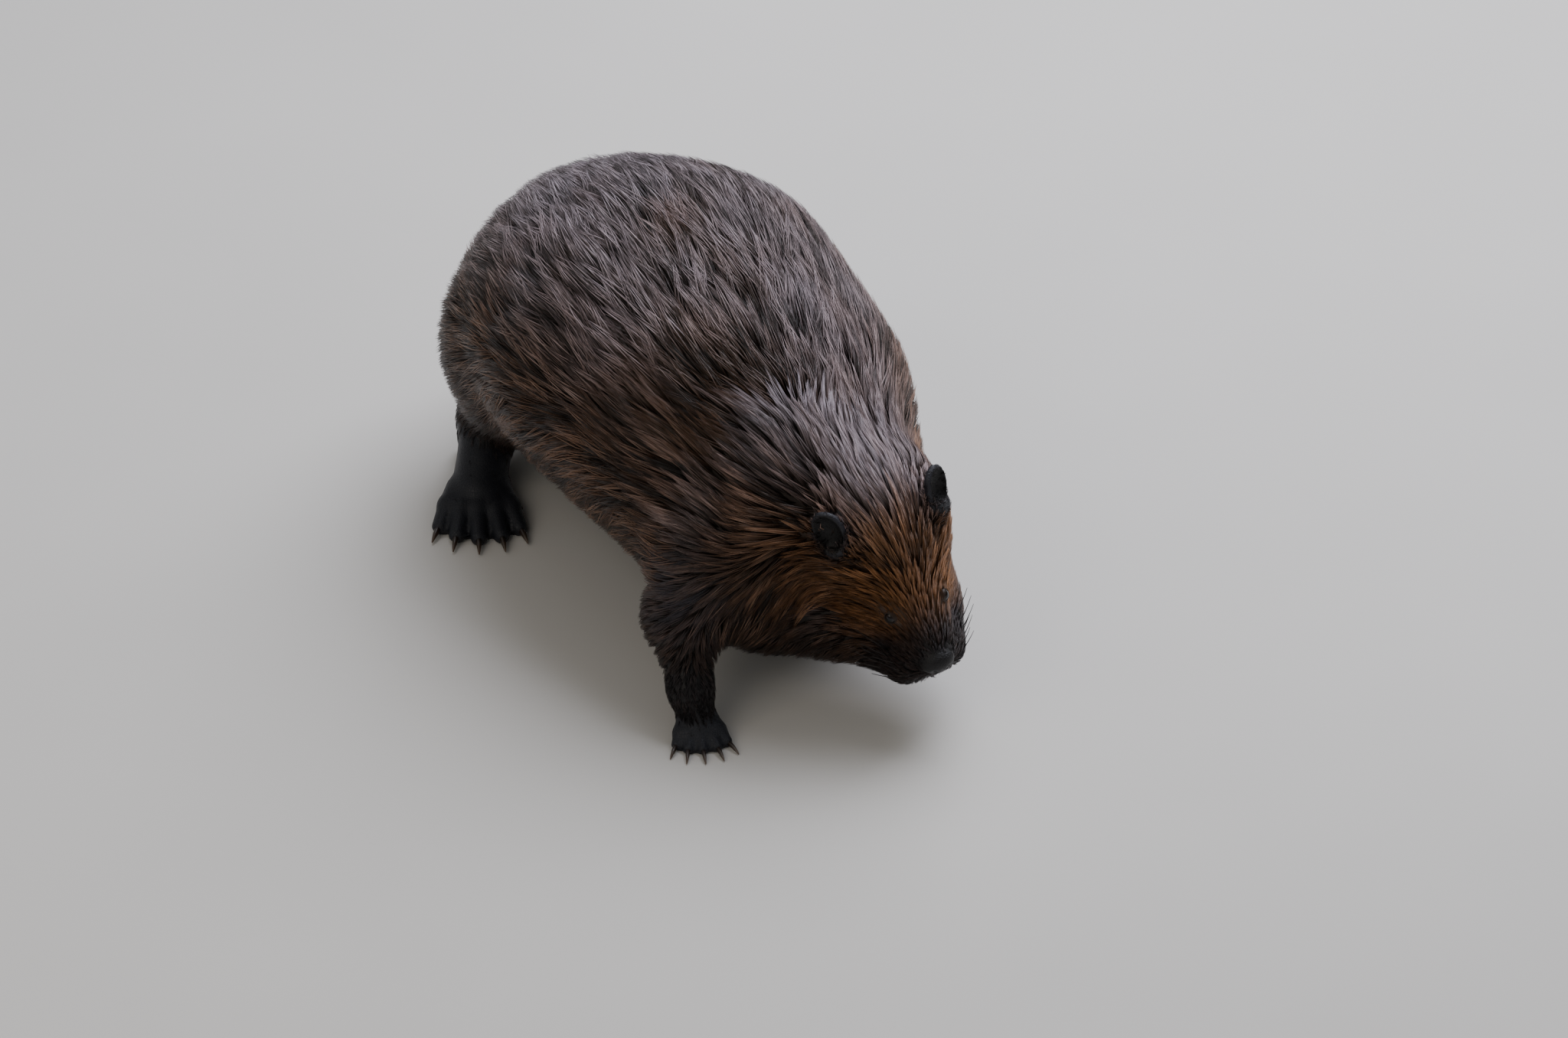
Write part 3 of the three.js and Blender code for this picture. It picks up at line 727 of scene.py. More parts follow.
def raise_lids(p):
    """Outside the opening the skin rises to just over the ball, and inside it drops below the ball."""
    for side in SIDES.values():
        centre, out, forward, up = eye_axes(side)
        v = p - centre
        near = np.flatnonzero(np.linalg.norm(v, axis=1) < LID_REACH + 3)
        x, y, h = v[near] @ forward, v[near] @ up, v[near] @ out
        away = np.hypot(x, y)
        opening = np.hypot(x / LID_LONG, y / LID_HIGH)
        cap = np.sqrt(np.maximum((EYE_RADIUS + 0.7) ** 2 - away ** 2, 0.3))
        mound = h + (np.maximum(cap, h) - h) * (1 - smooth(0.25, 1, (away - 4) / (LID_REACH - 4)))
        inside = np.minimum(h, 1.0)
        target = inside + (mound - inside) * smooth(0.82, 1.04, opening)
        p[near] += (target - h)[:, None] * out
    return p


print("lids open", 2 * LID_LONG, "by", 2 * LID_HIGH, "mm over a ball of", 2 * EYE_RADIUS, "mm")

# %% [markdown]
# ## Nostrils and mouth
# The nostrils are two dents set slantwise in the nose pad, with a fine groove between them. The
# mouth is shut: a shallow groove that runs back between the lips, and the split of the upper lip.
# Dents and grooves are bell curves, which leave no hard rim.

# %% Nostrils and mouth
NOSTRIL_DEEP, LIP_DEEP, SPLIT_DEEP = 3.4, 2.4, 3.0
NOSTRIL_HEIGHT = -27
MOUTH_AT = (100, -74)


def press_nostrils(p):
    """Two slanted dents and a fine groove between them."""
    local = to_head(p)
    y = np.abs(local[:, 1])
    over = local[:, 2] - NOSTRIL_HEIGHT
    dent = np.exp(-((y - 6.2 - 0.25 * over) / 2.2) ** 2 - (over / 3.4) ** 2)
    groove = np.exp(-(y / 0.9) ** 2) * smooth(-20, -24, local[:, 2]) * smooth(-46, -40, local[:, 2])
    front = smooth(NOSE_TIP - 12, NOSE_TIP - 5, local[:, 0])
    return p - (NOSTRIL_DEEP * dent + 0.8 * groove)[:, None] * front[:, None] * HEAD[:, 0]


def press_mouth(p):
    """A groove between the lips, and the split of the upper lip below the nose."""
    local = to_head(p)
    ahead = local[:, 0] - MOUTH_AT[0]
    line = MOUTH_AT[1] + 0.10 * ahead - 0.004 * ahead ** 2
    lips = np.exp(-((local[:, 2] - line) / 1.8) ** 2) * smooth(72, 90, local[:, 0])
    split = np.exp(-(local[:, 1] / 1.6) ** 2) * smooth(-44, -50, local[:, 2]) * smooth(-78, -70, local[:, 2])
    split *= smooth(114, 122, local[:, 0])
    centre = in_head(95, 0, -55)
    return p - unit(p - centre) * (LIP_DEEP * lips + SPLIT_DEEP * split)[:, None]


print("the nostrils are", NOSTRIL_DEEP, "mm deep, the mouth's groove", LIP_DEEP, "mm")

# %% [markdown]
# ## The cup of the ear
# A beaver's ear is a small round cup. An ellipsoid is set into the front of the solid ear, and
# what lies inside it moves back to its far wall, which leaves a hollow with a rolled rim. Then
# all the presses are made in turn, and the skin is cut into triangles.

# %% Ear cups and the finished skin shape
EAR_CUP = np.array([10.0, 14.0, 19.0])
EAR_CUP_AT = np.array([7.5, 0.0, 2.5])
EAR_FOOT = 16


def hollow_ears(p):
    """What lies inside an ellipsoid set in the ear's face goes back to that ellipsoid's far wall."""
    for side in SIDES.values():
        axes = ear_axes(side)
        centre = in_head(EAR[0], side * EAR[1], EAR[2]) + axes @ EAR_CUP_AT
        q = (p - centre) @ axes / EAR_CUP
        near = np.flatnonzero((np.linalg.norm(q, axis=1) < 1) & (to_head(p)[:, 2] > EAR_FOOT))
        wall = -np.sqrt(np.maximum(1 - q[near, 1] ** 2 - q[near, 2] ** 2, 0))
        p[near] += ((wall - q[near, 0]) * EAR_CUP[0])[:, None] * axes[:, 0]
    return p


skin_points = hollow_ears(press_mouth(press_nostrils(raise_lids(places(bm)))))
bmesh.ops.triangulate(bm, faces=bm.faces)
bm.to_mesh(skin_mesh)
bm.free()
skin_faces = np.empty(len(skin_mesh.polygons) * 3, np.int32)
skin_mesh.polygons.foreach_get("vertices", skin_faces)
skin_faces = skin_faces.reshape(-1, 3)
print("skin", len(skin_points), "points,", len(skin_faces), "triangles")

# %% [markdown]
# ## Materials
# Colours are written as sRGB hex values, as a colour picker shows them, and one function turns
# them to the linear values that Blender's nodes use. Most of the animal is coloured by a tone
# attribute that is worked out with the shape, so that skin and hair carry the same markings.

# %% Colours and nodes
def linear(code):
    """An sRGB hex colour as linear red, green and blue."""
    srgb = np.array([int(code[i:i + 2], 16) for i in (1, 3, 5)]) / 255
    return np.where(srgb <= 0.04045, srgb / 12.92, ((srgb + 0.055) / 1.055) ** 2.4)


def add_node(tree, kind, settings=None, **inputs):
    """Adds a node; settings are its properties, and inputs are numbers, colours or sockets to link."""
    made = tree.nodes.new(kind)
    for name, value in (settings or {}).items():
        setattr(made, name, value)
    for name, value in inputs.items():
        socket = made.inputs[int(name[1:]) if name[0] == "_" else name.replace("_", " ")]
        if isinstance(value, bpy.types.NodeSocket):
            tree.links.new(value, socket)
        else:
            socket.default_value = value
    return made


def new_material(name, **finish):
    """A material with a Principled shader; finish sets the shader's own sockets."""
    material = bpy.data.materials.new(name)
    material.use_nodes = True
    tree = material.node_tree
    tree.nodes.clear()
    shader = add_node(tree, "ShaderNodeBsdfPrincipled", **finish)
    add_node(tree, "ShaderNodeOutputMaterial", Surface=shader.outputs[0])
    return material, tree, shader


def tone_of(tree, name="tone"):
    """The node that reads an attribute of the mesh, which is its tone unless another is named."""
    return add_node(tree, "ShaderNodeAttribute", {"attribute_name": name})


print("mid grey #808080 is", np.round(linear("#808080")[0], 3), "in linear light")

# %% [markdown]
# ## Guard hair and bare hide
# Guard hair could have a hair shader, but that suits curves, not mesh, and it is lost when the
# model leaves Blender. A plain Principled shader that reads the tone attribute is kept. The hide
# shows on feet, nose and ears: its small scutes are a Voronoi pattern's cell edges, pressed in
# only where the skin is bare.

# %% Hair and hide
# Keratin guard hair, coarse and oiled: a smooth cuticle gives each hair a narrow cool highlight.
guard_hair, tree, shader = new_material("guard_hair_keratin", Roughness=0.4, IOR=1.42)
tree.links.new(tone_of(tree).outputs["Color"], shader.inputs["Base Color"])

# Bare hide: black leathery skin in small scutes on feet and nose, matt where hair covers it.
SCUTE = 2.4 * MM
bare_hide, tree, shader = new_material("bare_hide_leather", Roughness=0.5, IOR=1.4)
tree.links.new(tone_of(tree).outputs["Color"], shader.inputs["Base Color"])
place = add_node(tree, "ShaderNodeTexCoord").outputs["Object"]
cells = add_node(tree, "ShaderNodeTexVoronoi", {"feature": "DISTANCE_TO_EDGE"}, Vector=place, Scale=1 / SCUTE)
edge = add_node(tree, "ShaderNodeMapRange", _0=cells.outputs["Distance"], _2=0.12)
bare_skin = tone_of(tree, "bare").outputs["Fac"]
height = add_node(tree, "ShaderNodeMath", {"operation": "MULTIPLY"}, _0=edge.outputs[0], _1=bare_skin)
bump = add_node(tree, "ShaderNodeBump", Strength=0.5, Distance=0.4 * MM, Height=height.outputs[0])
tree.links.new(bump.outputs[0], shader.inputs["Normal"])
print("scutes are", round(SCUTE / MM, 1), "mm across")

# %% [markdown]
# ## Cornea, claw horn and tail scale
# The cornea is the only mirror on the animal, so it is the one piece with almost no roughness.
# Claw and scale are horn with a fine noise for growth ripples and pores, about a millimetre wide.

# %% Eye, claw, whisker and scale
GROWTH_LINE, PORE = 1.2 * MM, 0.9 * MM

# The eye is a wet cornea over a nearly black iris: a mirror-sharp highlight on black.
eye_gloss, tree, shader = new_material("wet_cornea", Roughness=0.04, IOR=1.376)
tree.links.new(tone_of(tree).outputs["Color"], shader.inputs["Base Color"])

# Claw horn: keratin with fine growth ripples, worn smooth and half shiny. Whiskers have it too.
claw_horn, tree, shader = new_material("claw_keratin", Roughness=0.34, IOR=1.54)
tree.links.new(tone_of(tree).outputs["Color"], shader.inputs["Base Color"])
place = add_node(tree, "ShaderNodeTexCoord").outputs["Object"]
lines = add_node(tree, "ShaderNodeTexNoise", Vector=place, Scale=1 / GROWTH_LINE, Detail=3.0)
bump = add_node(tree, "ShaderNodeBump", Strength=0.25, Distance=0.15 * MM, Height=lines.outputs["Fac"])
tree.links.new(bump.outputs[0], shader.inputs["Normal"])

# Tail scale: horny plates, black-grey and worn dull, with grit in their pores.
tail_scale, tree, shader = new_material("tail_scale_keratin", Roughness=0.46, IOR=1.5)
tree.links.new(tone_of(tree).outputs["Color"], shader.inputs["Base Color"])
place = add_node(tree, "ShaderNodeTexCoord").outputs["Object"]
pores = add_node(tree, "ShaderNodeTexNoise", Vector=place, Scale=1 / PORE, Detail=4.0)
bump = add_node(tree, "ShaderNodeBump", Strength=0.35, Distance=0.2 * MM, Height=pores.outputs["Fac"])
tree.links.new(bump.outputs[0], shader.inputs["Normal"])
print(len(bpy.data.materials), "materials")

# %% [markdown]
# ## Putting a surface into Blender
# Everything is worked out as arrays of points and triangles, so one function turns them into a
# piece: points in millimetres become metres in the row's frame, the tone becomes a colour
# attribute, the piece rides on the body, and the imported nodes it stands for are hidden.

# %% Make a piece


def make_piece(name, points, triangles, material, tone, replaces=(), uv=None):
    """One finished object from arrays: points in mm, triangles, a tone and a map place per point."""
    mesh = bpy.data.meshes.new(name)
    mesh.vertices.add(len(points))
    mesh.vertices.foreach_set("co", to_row(points).astype(np.float32).ravel())
    mesh.loops.add(triangles.size)
    mesh.loops.foreach_set("vertex_index", triangles.astype(np.int32).ravel())
    mesh.polygons.add(len(triangles))
    mesh.polygons.foreach_set("loop_start", np.arange(0, triangles.size, 3, dtype=np.int32))
    mesh.update(calc_edges=True)
    mesh.polygons.foreach_set("use_smooth", np.ones(len(triangles), bool))
    colour = mesh.color_attributes.new("tone", "FLOAT_COLOR", "POINT")
    full = np.concatenate([np.broadcast_to(tone, (len(points), 3)), np.ones((len(points), 1))], 1)
    colour.data.foreach_set("color", full.astype(np.float32).ravel())
    if uv is not None:
        layer = mesh.uv_layers.new(name="OFBake")
        layer.data.foreach_set("uv", uv[triangles.ravel()].astype(np.float32).ravel())
    mesh.materials.append(material)
    made = bpy.data.objects.new(name, mesh)
    bpy.context.scene.collection.objects.link(made)
    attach(made, "root")
    if replaces:
        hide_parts(*replaces)
    print(f"{name}: {len(triangles)} triangles")
    return made


print("pieces are placed with a shift of", np.round(SHIFT * MM, 3), "m")

# %% [markdown]
# ## Tubes
# Strands, claws, whiskers and scales are all the same kind of mesh: rings of points, then one
# point that closes the end. So one function lists the triangles of such a tube, and another
# repeats them for thousands of copies at once.

# %% Faces of a tube


def wall_faces(rings, sides):
    """Two triangles for each square between neighbouring rings."""
    ring, side = np.meshgrid(np.arange(rings - 1), np.arange(sides), indexing="ij")
    a, b = ring * sides + side, ring * sides + (side + 1) % sides
    return np.concatenate([np.stack([a, b, b + sides], -1).reshape(-1, 3),
                           np.stack([a, b + sides, a + sides], -1).reshape(-1, 3)])


def tube_faces(rings, sides):
    """Triangles of a closed tube whose last point, after its rings, is the tip; the root is capped."""
    last = (rings - 1) * sides + np.arange(sides)
    tip = np.stack([last, np.roll(last, -1), np.full(sides, rings * sides)], 1)
    fan = np.stack([np.zeros(sides - 2, int), np.arange(2, sides), np.arange(1, sides - 1)], 1)
    return np.concatenate([wall_faces(rings, sides), tip, fan])


def repeat_faces(faces, copies, points_each):
    """The same triangles for each of many copies that have the same number of points."""
    return (faces[None] + np.arange(copies)[:, None, None] * points_each).reshape(-1, 3)


def mix(a, b, share):
    """From a, where the share is 0, to b, where it is 1, for rows of colours or vectors."""
    share = np.asarray(share)[..., None]
    return a + (b - a) * share


print("a tube of 4 rings of 3 has", len(tube_faces(4, 3)), "triangles")

# %% [markdown]
# ## The markings
# A beaver has no pattern, but it isn't one brown either. Flanks are dark chocolate with rusty
# streaks, the head is red-brown, the legs go nearly black, and where the oiled back faces the
# sky a painted reflection of the sky turns it a cool mauve-grey. An image would need a seamless unwrapping of
# the whole animal, and paint wouldn't reach the hair. One formula gives the colour from place and kind of
# coat, for the skin and for every hair, and darkens muzzle and legs. The painted reflection of the sky comes
# later, with the strands, because only hair gets it.

# %% Colour of coat and skin
CHOCOLATE, RUST, FOX = linear("#31251c"), linear("#754c2b"), linear("#a96e2e")
# The middle colour on the next line is a painted reflection of the sky, for the tips of hair that faces up.
SOOT, PAINTED_SKY_GREY, WOOL = linear("#14151b"), linear("#aba2ab"), linear("#70645c")
HIDE, NOSE_BLACK = linear("#1c1e24"), linear("#0e0d0e")
# The second colour on the next line is painted shade for the hollow of the ear cup.
EAR_SKIN, EAR_HOLLOW_SHADE = linear("#202027"), linear("#050404")


def ripple(points, size, seed):
    """Smooth noise of about that size in mm: a mean of eight sine waves, each in its own direction."""
    luck = np.random.default_rng(seed)
    ways = unit(luck.normal(size=(8, 3))) * (2 * np.pi / (size * luck.uniform(0.7, 1.5, 8)))[:, None]
    return np.sin(points @ ways.T + luck.uniform(0, 2 * np.pi, 8)).mean(1) * 2


def coat_tone(points, warm, dark, lift, chance):
    """
    Chocolate to rust, and rust to fox, by warmth, ripples and chance; towards the woolly undercoat's
    grey where the coat stands; towards soot where the coat is dark, and on the muzzle.
    """
    rusty = np.clip(0.2 + 0.6 * warm + 0.14 * ripple(points, 70, 3) + 0.13 * chance, 0, 1)
    colour = mix(CHOCOLATE, mix(RUST, FOX, np.clip(warm, 0, 1)), rusty)
    colour = mix(colour, WOOL, np.clip(lift * 0.8 + 0.12 * chance, 0, 0.7))
    muzzle = smooth(60, 118, to_head(points)[:, 0])
    return mix(colour, SOOT, np.clip(dark + 0.5 * muzzle, 0, 1) * 0.9)


print("flank", np.round(coat_tone(np.zeros((1, 3)), 0, 0, 0, 0)[0], 3), "and foot",
      np.round(coat_tone(np.zeros((1, 3)), 0, 1.0, 0, 0)[0], 3), "in linear light")

# %% [markdown]
# ## The skin
# Under hair the skin is painted with the coat's own colours at a fifth of their strength, as painted shade,
# so that the gaps between locks are dark but not black. Where it is bare it is slate-black hide,
# blacker on the nose pad and the rims of the lids, and nearly black in the hollow of the ear, where shade is
# painted in.

# %% The skin piece
# Skin under hair takes the coat's colour at this share, as painted shade in the gaps between locks.
UNDER_FUR_SHADE = 0.2
BARE_FROM, BARE_TO = 0.3, 0.8
skin_traits = body(skin_points, ("warm", "dark", "bare", "lift"))[1]
warm, dark, bare, lift = skin_traits.T
bare_share = smooth(BARE_FROM, BARE_TO, bare)
local = to_head(skin_points)
under_fur = coat_tone(skin_points, warm, dark, lift, 0) * UNDER_FUR_SHADE
skin_tone = mix(under_fur, HIDE, bare_share)
nose_share = smooth(119, 127, local[:, 0]) * smooth(-44, -38, local[:, 2])
skin_tone = mix(skin_tone, NOSE_BLACK, nose_share)
skin_tone = mix(skin_tone, EAR_SKIN, 1 - smooth(18, 26, about_ears(local)))
skin_tone = mix(skin_tone, NOSE_BLACK, 1 - smooth(5.0, 7.0, about_eyes(local)))
# The hollow of each ear cup is painted nearly black: painted shade in the recess.
for side in SIDES.values():
    q = (skin_points - in_head(EAR[0], side * EAR[1], EAR[2])) @ ear_axes(side) - EAR_CUP_AT
    from_cup = np.linalg.norm(q / EAR_CUP, axis=1)
    skin_tone = mix(skin_tone, EAR_HOLLOW_SHADE, 1 - smooth(1.02, 1.12, from_cup))

FLESH_NODES = ["trunk", "neck", "head", "nose", "ear_right", "ear_left", "tail_root", "tail"]
LEG_PARTS = ("hind_leg", "hind_foot", "fore_leg", "fore_paw")
FLESH_NODES += [f"{part}_{side}" for part in LEG_PARTS for side in SIDES]
skin = make_piece("skin", skin_points, skin_faces, bare_hide, skin_tone, FLESH_NODES)
share = skin.data.attributes.new("bare", "FLOAT", "POINT")
share.data.foreach_set("value", bare_share.astype(np.float32))

# %% [markdown]
# ## Eyes
# The eyeball is a ball of 12 mm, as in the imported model, sunk a little so that the lids hold it.
# A ready-made sphere would do for the shape, but this one has its pole at the pupil, so that
# pupil and iris are rings of points and get their tones from the distance to the pole.

# %% Eyeballs
BALL_RINGS, BALL_SIDES = 24, 32
PUPIL, IRIS = 2.4, 4.6
PUPIL_BLACK, IRIS_BROWN, RIM_BLACK = linear("#050404"), linear("#1d120b"), linear("#0a0706")
for side_name, side in SIDES.items():
    centre, out, forward, up = eye_axes(side)
    polar, around = np.meshgrid(np.linspace(0, np.pi, BALL_RINGS + 1)[1:-1],
                                np.arange(BALL_SIDES) * 2 * np.pi / BALL_SIDES, indexing="ij")
    shell = (np.cos(polar)[..., None] * out + np.sin(polar)[..., None]
             * (np.cos(around)[..., None] * forward + np.sin(around)[..., None] * np.cross(out, forward)))
    points = np.concatenate([shell.reshape(-1, 3), [out], [-out]])
    rows = len(points) - 2
    ring = np.arange(BALL_SIDES)
    top = np.stack([np.full(BALL_SIDES, rows), np.roll(ring, -1), ring], 1)
    bottom = rows - BALL_SIDES + np.stack([ring, np.roll(ring, -1), np.full(BALL_SIDES, BALL_SIDES + 1)], 1)
    faces = np.concatenate([wall_faces(BALL_RINGS - 1, BALL_SIDES), top, bottom])
    off_axis = np.linalg.norm(points * EYE_RADIUS - out * EYE_RADIUS, axis=1)
    tone = mix(PUPIL_BLACK, IRIS_BROWN, smooth(PUPIL, PUPIL + 0.5, off_axis))
    tone = mix(tone, RIM_BLACK, smooth(IRIS, IRIS + 0.6, off_axis))
    make_piece(f"eyeball_{side_name}", centre + points * EYE_RADIUS, faces, eye_gloss, tone,
               [f"eye_{side_name}"])

# %% [markdown]
# ## Claws
# A claw is a round cone carried along an arc that rises out of the toe and bends to the ground.
# Horn is darkest where it leaves the toe and pales to its worn tip. The five claws of a foot
# make one piece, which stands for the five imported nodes.

# %% Claws
CLAW_SIDES, CLAW_RINGS = 12, 9
CLAW_SIZE = {"hind": (19, 3.6), "fore": (17, 2.6)}
HORN_ROOT, HORN_TIP = linear("#1d1715"), linear("#5a4a3c")
RISE, FALL = 0.12, 0.3


def claw_points(tip, along, sink, length, radius):
    """A ring of radius r (1 - 0.78 t t) about a line that first rises and then falls with t squared."""
    t = np.linspace(0, 1, CLAW_RINGS)[:, None]
    height = RISE * length * t - FALL * length * t ** 2
    centre = tip + along * (sink + t * length) + np.array([0, 0, 1]) * height
    angle = np.arange(CLAW_SIDES) * 2 * np.pi / CLAW_SIDES
    across = np.array([-along[1], along[0], 0])
    ring = np.cos(angle)[:, None] * across * 0.85 + np.sin(angle)[:, None] * np.array([0, 0, 1.0])
    rings = centre[:, None] + ring[None] * (radius * (1 - 0.78 * t ** 2))[:, None]
    return np.concatenate([rings.reshape(-1, 3), centre[-1:] + along * radius * 0.2])


for foot in FEET:
    names = [f"{foot}_claw_{number}" for number in range(1, 6)]
    points = np.stack([claw_points(*claws[name], *CLAW_SIZE[foot[:4]]) for name in names])
    t = np.repeat(np.linspace(0, 1, CLAW_RINGS), CLAW_SIDES)
    tone = np.tile(mix(HORN_ROOT, HORN_TIP, np.append(t, 1) ** 2), (len(names), 1))
    faces = repeat_faces(tube_faces(CLAW_RINGS, CLAW_SIDES), len(names), points.shape[1])
    make_piece(f"{foot}_claws", points.reshape(-1, 3), faces, claw_horn, tone, names)

# %% [markdown]
# ## Where locks grow
# Hair can't be particles here, because it has to be real mesh. Each hair that shows is a thin
# three-sided strand that tapers to a point, and a few strands make a lock. Roots are sown over
# the skin by area, one for each square of the coat's spacing, with next to none on bare skin and
# none under scales, on the rims of the lids or on the soles.

# %% Sow the roots
dice = np.random.default_rng(11)
LID_RIM = (5.0, 6.4)
SOLE = (0.4, 1.5)


def sow(share_kept):
    """Roots spread evenly over the skin, one for each square of the coat's spacing there."""
    corners = skin_points[skin_faces]
    centre = corners.mean(1)
    area = np.linalg.norm(np.cross(corners[:, 1] - corners[:, 0], corners[:, 2] - corners[:, 0]), axis=1) / 2
    traits = coat_at(centre)
    lids = smooth(*LID_RIM, about_eyes(to_head(centre)))
    standing = smooth(*SOLE, centre[:, 2])
    hairy = (1 - smooth(0.3, 0.9, traits[:, COLUMN["bare"]]) * 0.985) * lids * standing
    hairy *= 1 - traits[:, COLUMN["plate"]]
    share = np.cumsum(area * hairy / traits[:, COLUMN["spacing"]] ** 2 * share_kept)
    marks = np.arange(0.5, share[-1]) + dice.uniform(-0.35, 0.35, int(share[-1] + 0.5))
    face = np.searchsorted(share, np.clip(marks, 0, share[-1] - 1e-6))
    u, v = dice.uniform(size=(2, len(face)))
    flip = u + v > 1
    u, v = np.where(flip, 1 - u, u), np.where(flip, 1 - v, v)
    first, second, third = corners[face].transpose(1, 0, 2)
    return first + u[:, None] * (second - first) + v[:, None] * (third - first)


THIN_OUT = 0.93
roots = sow(THIN_OUT)
print(len(roots), "roots")

# %% [markdown]
# ## The lie of the coat, and guide lines
# A lock follows one guide line, which starts on the skin, is carried backwards over the body by
# the lie of the coat and climbs to the coat's outside. The lie turns down on steep sides, as wet
# hair does, and parts softly to both sides of the nape's fold.

# %% Lie and guide lines
SIDEWAYS = np.array([0.0, -1.0, 0.0])
ROOT_DEPTH = 0.6
FLOOR_ROOM = 0.8


def lie_of(roots, traits, normal):
    """The coat's lie on the skin: backwards, turned down on steep sides and round the nape's fold."""
    lie = traits[:, [COLUMN["lie_x"], COLUMN["lie_y"], COLUMN["lie_z"]]].copy()
    lie[:, 2] -= traits[:, COLUMN["drop"]] * smooth(0.35, -0.15, normal[:, 2])
    ahead, share = nape_fold(*roots.T)
    aside = share * np.exp(-((ahead - 12) / 30) ** 2) * np.tanh((FOLD_AT[1] - roots[:, 1]) / 30)
    lie += 0.5 * aside[:, None] * SIDEWAYS
    return unit(lie - normal * (lie * normal).sum(1, keepdims=True))


def guide_lines(roots, traits, rings, turn_by, length, raise_by, above):
    """Lines stepped along the coat's lie, whose points climb from the skin to the coat's outside."""
    depth, lift = traits[:, COLUMN["depth"]], traits[:, COLUMN["lift"]]
    normal = unit(slope(roots, body_distance))
    along = lie_of(roots, traits, normal)
    along = unit(along * np.cos(turn_by)[:, None] + np.cross(normal, along) * np.sin(turn_by)[:, None])
    lines, normals, ways = [roots - normal * ROOT_DEPTH], [normal], [along]
    for ring in range(1, rings):
        s = ring / (rings - 1)
        place = lines[-1] + ways[-1] * (length / (rings - 1))[:, None]
        value, grade = body_distance(place), slope(place, body_distance)
        climb = -depth * (1 - above) * (1 - s) ** 1.15
        level = climb + (0.10 * depth + 5 * lift) * raise_by * s ** 1.5 + 3 * above * s
        place = place + ((level - value) / np.maximum((grade ** 2).sum(1), 0.2))[:, None] * grade
        place[:, 2] = np.maximum(place[:, 2], FLOOR_ROOM)
        normal = unit(grade)
        lines.append(place)
        normals.append(normal)
        ways.append(unit(ways[-1] - normal * (ways[-1] * normal).sum(1, keepdims=True)))
    return np.stack(lines, 1), np.stack(normals, 1), np.stack(ways, 1)


steep = lie_of(np.array([[-150.0, -110.0, 190.0]]), COATS["back"][None], np.array([[0.0, -1.0, 0.0]]))[0]
print("on the steep flank the hair points along", np.round(steep, 2))

# %% [markdown]
# ## Locks that join
# The guard hairs of a damp beaver run together at their tips, and neighbouring locks join into
# long streaks, with dark gaps between. So each root belongs to a streak: it leans towards the
# line of its seed, and shares the seed's tone and height. Over an ear the hair is cut short, and
# hair that starts in front of the fold ends near it.

# %% Streaks, ears and fold
LONGWAYS = 7.0
AT_ONCE = 1000
EAR_CLEAR = (19, 33)
FOLD_ROOM, SHORTEST = 30, 18


def gather_to(roots, across, along, seed_share):
    """
    Some roots are seeds, and each root goes with the seed that is nearest when steps along the lie
    count as a seventh. Gives each root's sideways distance from its seed's line, and the seed's
    number. The squared distance is |a|^2 + |b|^2 - 2 a.b, worked out for a thousand roots at once.
    """
    seeds = roots[dice.choice(len(roots), max(1, int(len(roots) * seed_share)), replace=False)]
    beside, seed = np.empty(len(roots)), np.empty(len(roots), int)
    for start in range(0, len(roots), AT_ONCE):
        some = slice(start, start + AT_ONCE)
        here = roots[some]
        aside = (here * across[some]).sum(1)[:, None] - across[some] @ seeds.T
        ahead = (here * along[some]).sum(1)[:, None] - along[some] @ seeds.T
        apart2 = (here ** 2).sum(1)[:, None] + (seeds ** 2).sum(1) - 2 * here @ seeds.T
        seed[some] = (apart2 - ahead ** 2 * (1 - 1 / LONGWAYS ** 2)).argmin(1)
        beside[some] = np.take_along_axis(aside, seed[some][:, None], 1)[:, 0]
    return beside, seed


def clear_of_ears(roots, along, length):
    """Hair that would lie over an ear is cut down to a third of its length."""
    ears = np.stack([in_head(EAR[0], side * EAR[1], EAR[2]) for side in SIDES.values()])
    ends = np.stack([roots, roots + along * length[:, None]])
    away = np.linalg.norm(ends[:, :, None] - ears, axis=3).min((0, 2))
    return length * (0.33 + 0.67 * smooth(*EAR_CLEAR, away))


def clear_of_fold(roots, length):
    """Hair that starts in front of the nape's fold ends near it, so that the fold stays open."""
    ahead, share = nape_fold(*roots.T)
    room = FOLD_ROOM + ahead + 9 * dice.normal(size=len(roots))
    shorter = length + 0.7 * share * (np.clip(room, SHORTEST, length) - length)
    return np.where(ahead > 0, shorter, length)


print("steps along a streak count", round(1 / LONGWAYS, 2), "of steps across it")

# %% [markdown]
# ## Strands of a lock
# The strands of a lock start side by side on the skin and run together at their tips. Each is
# placed beside its guide line by arrays over locks, strands and rings at once: sideways by its
# order in the lock and by the pull of its streak, forwards and upwards by chance. Then a small
# triangle is set round every place and the last place closes the tip.

# %% Strands
STRAND_SIDES = 3
# How wide a strand is at each of its rings, as a share of its width, by its number of places.
PROFILE = {4: [0.8, 1.0, 0.66], 3: [0.85, 1.0]}
FLATNESS = 0.6
STRAND_FLOOR = 0.6


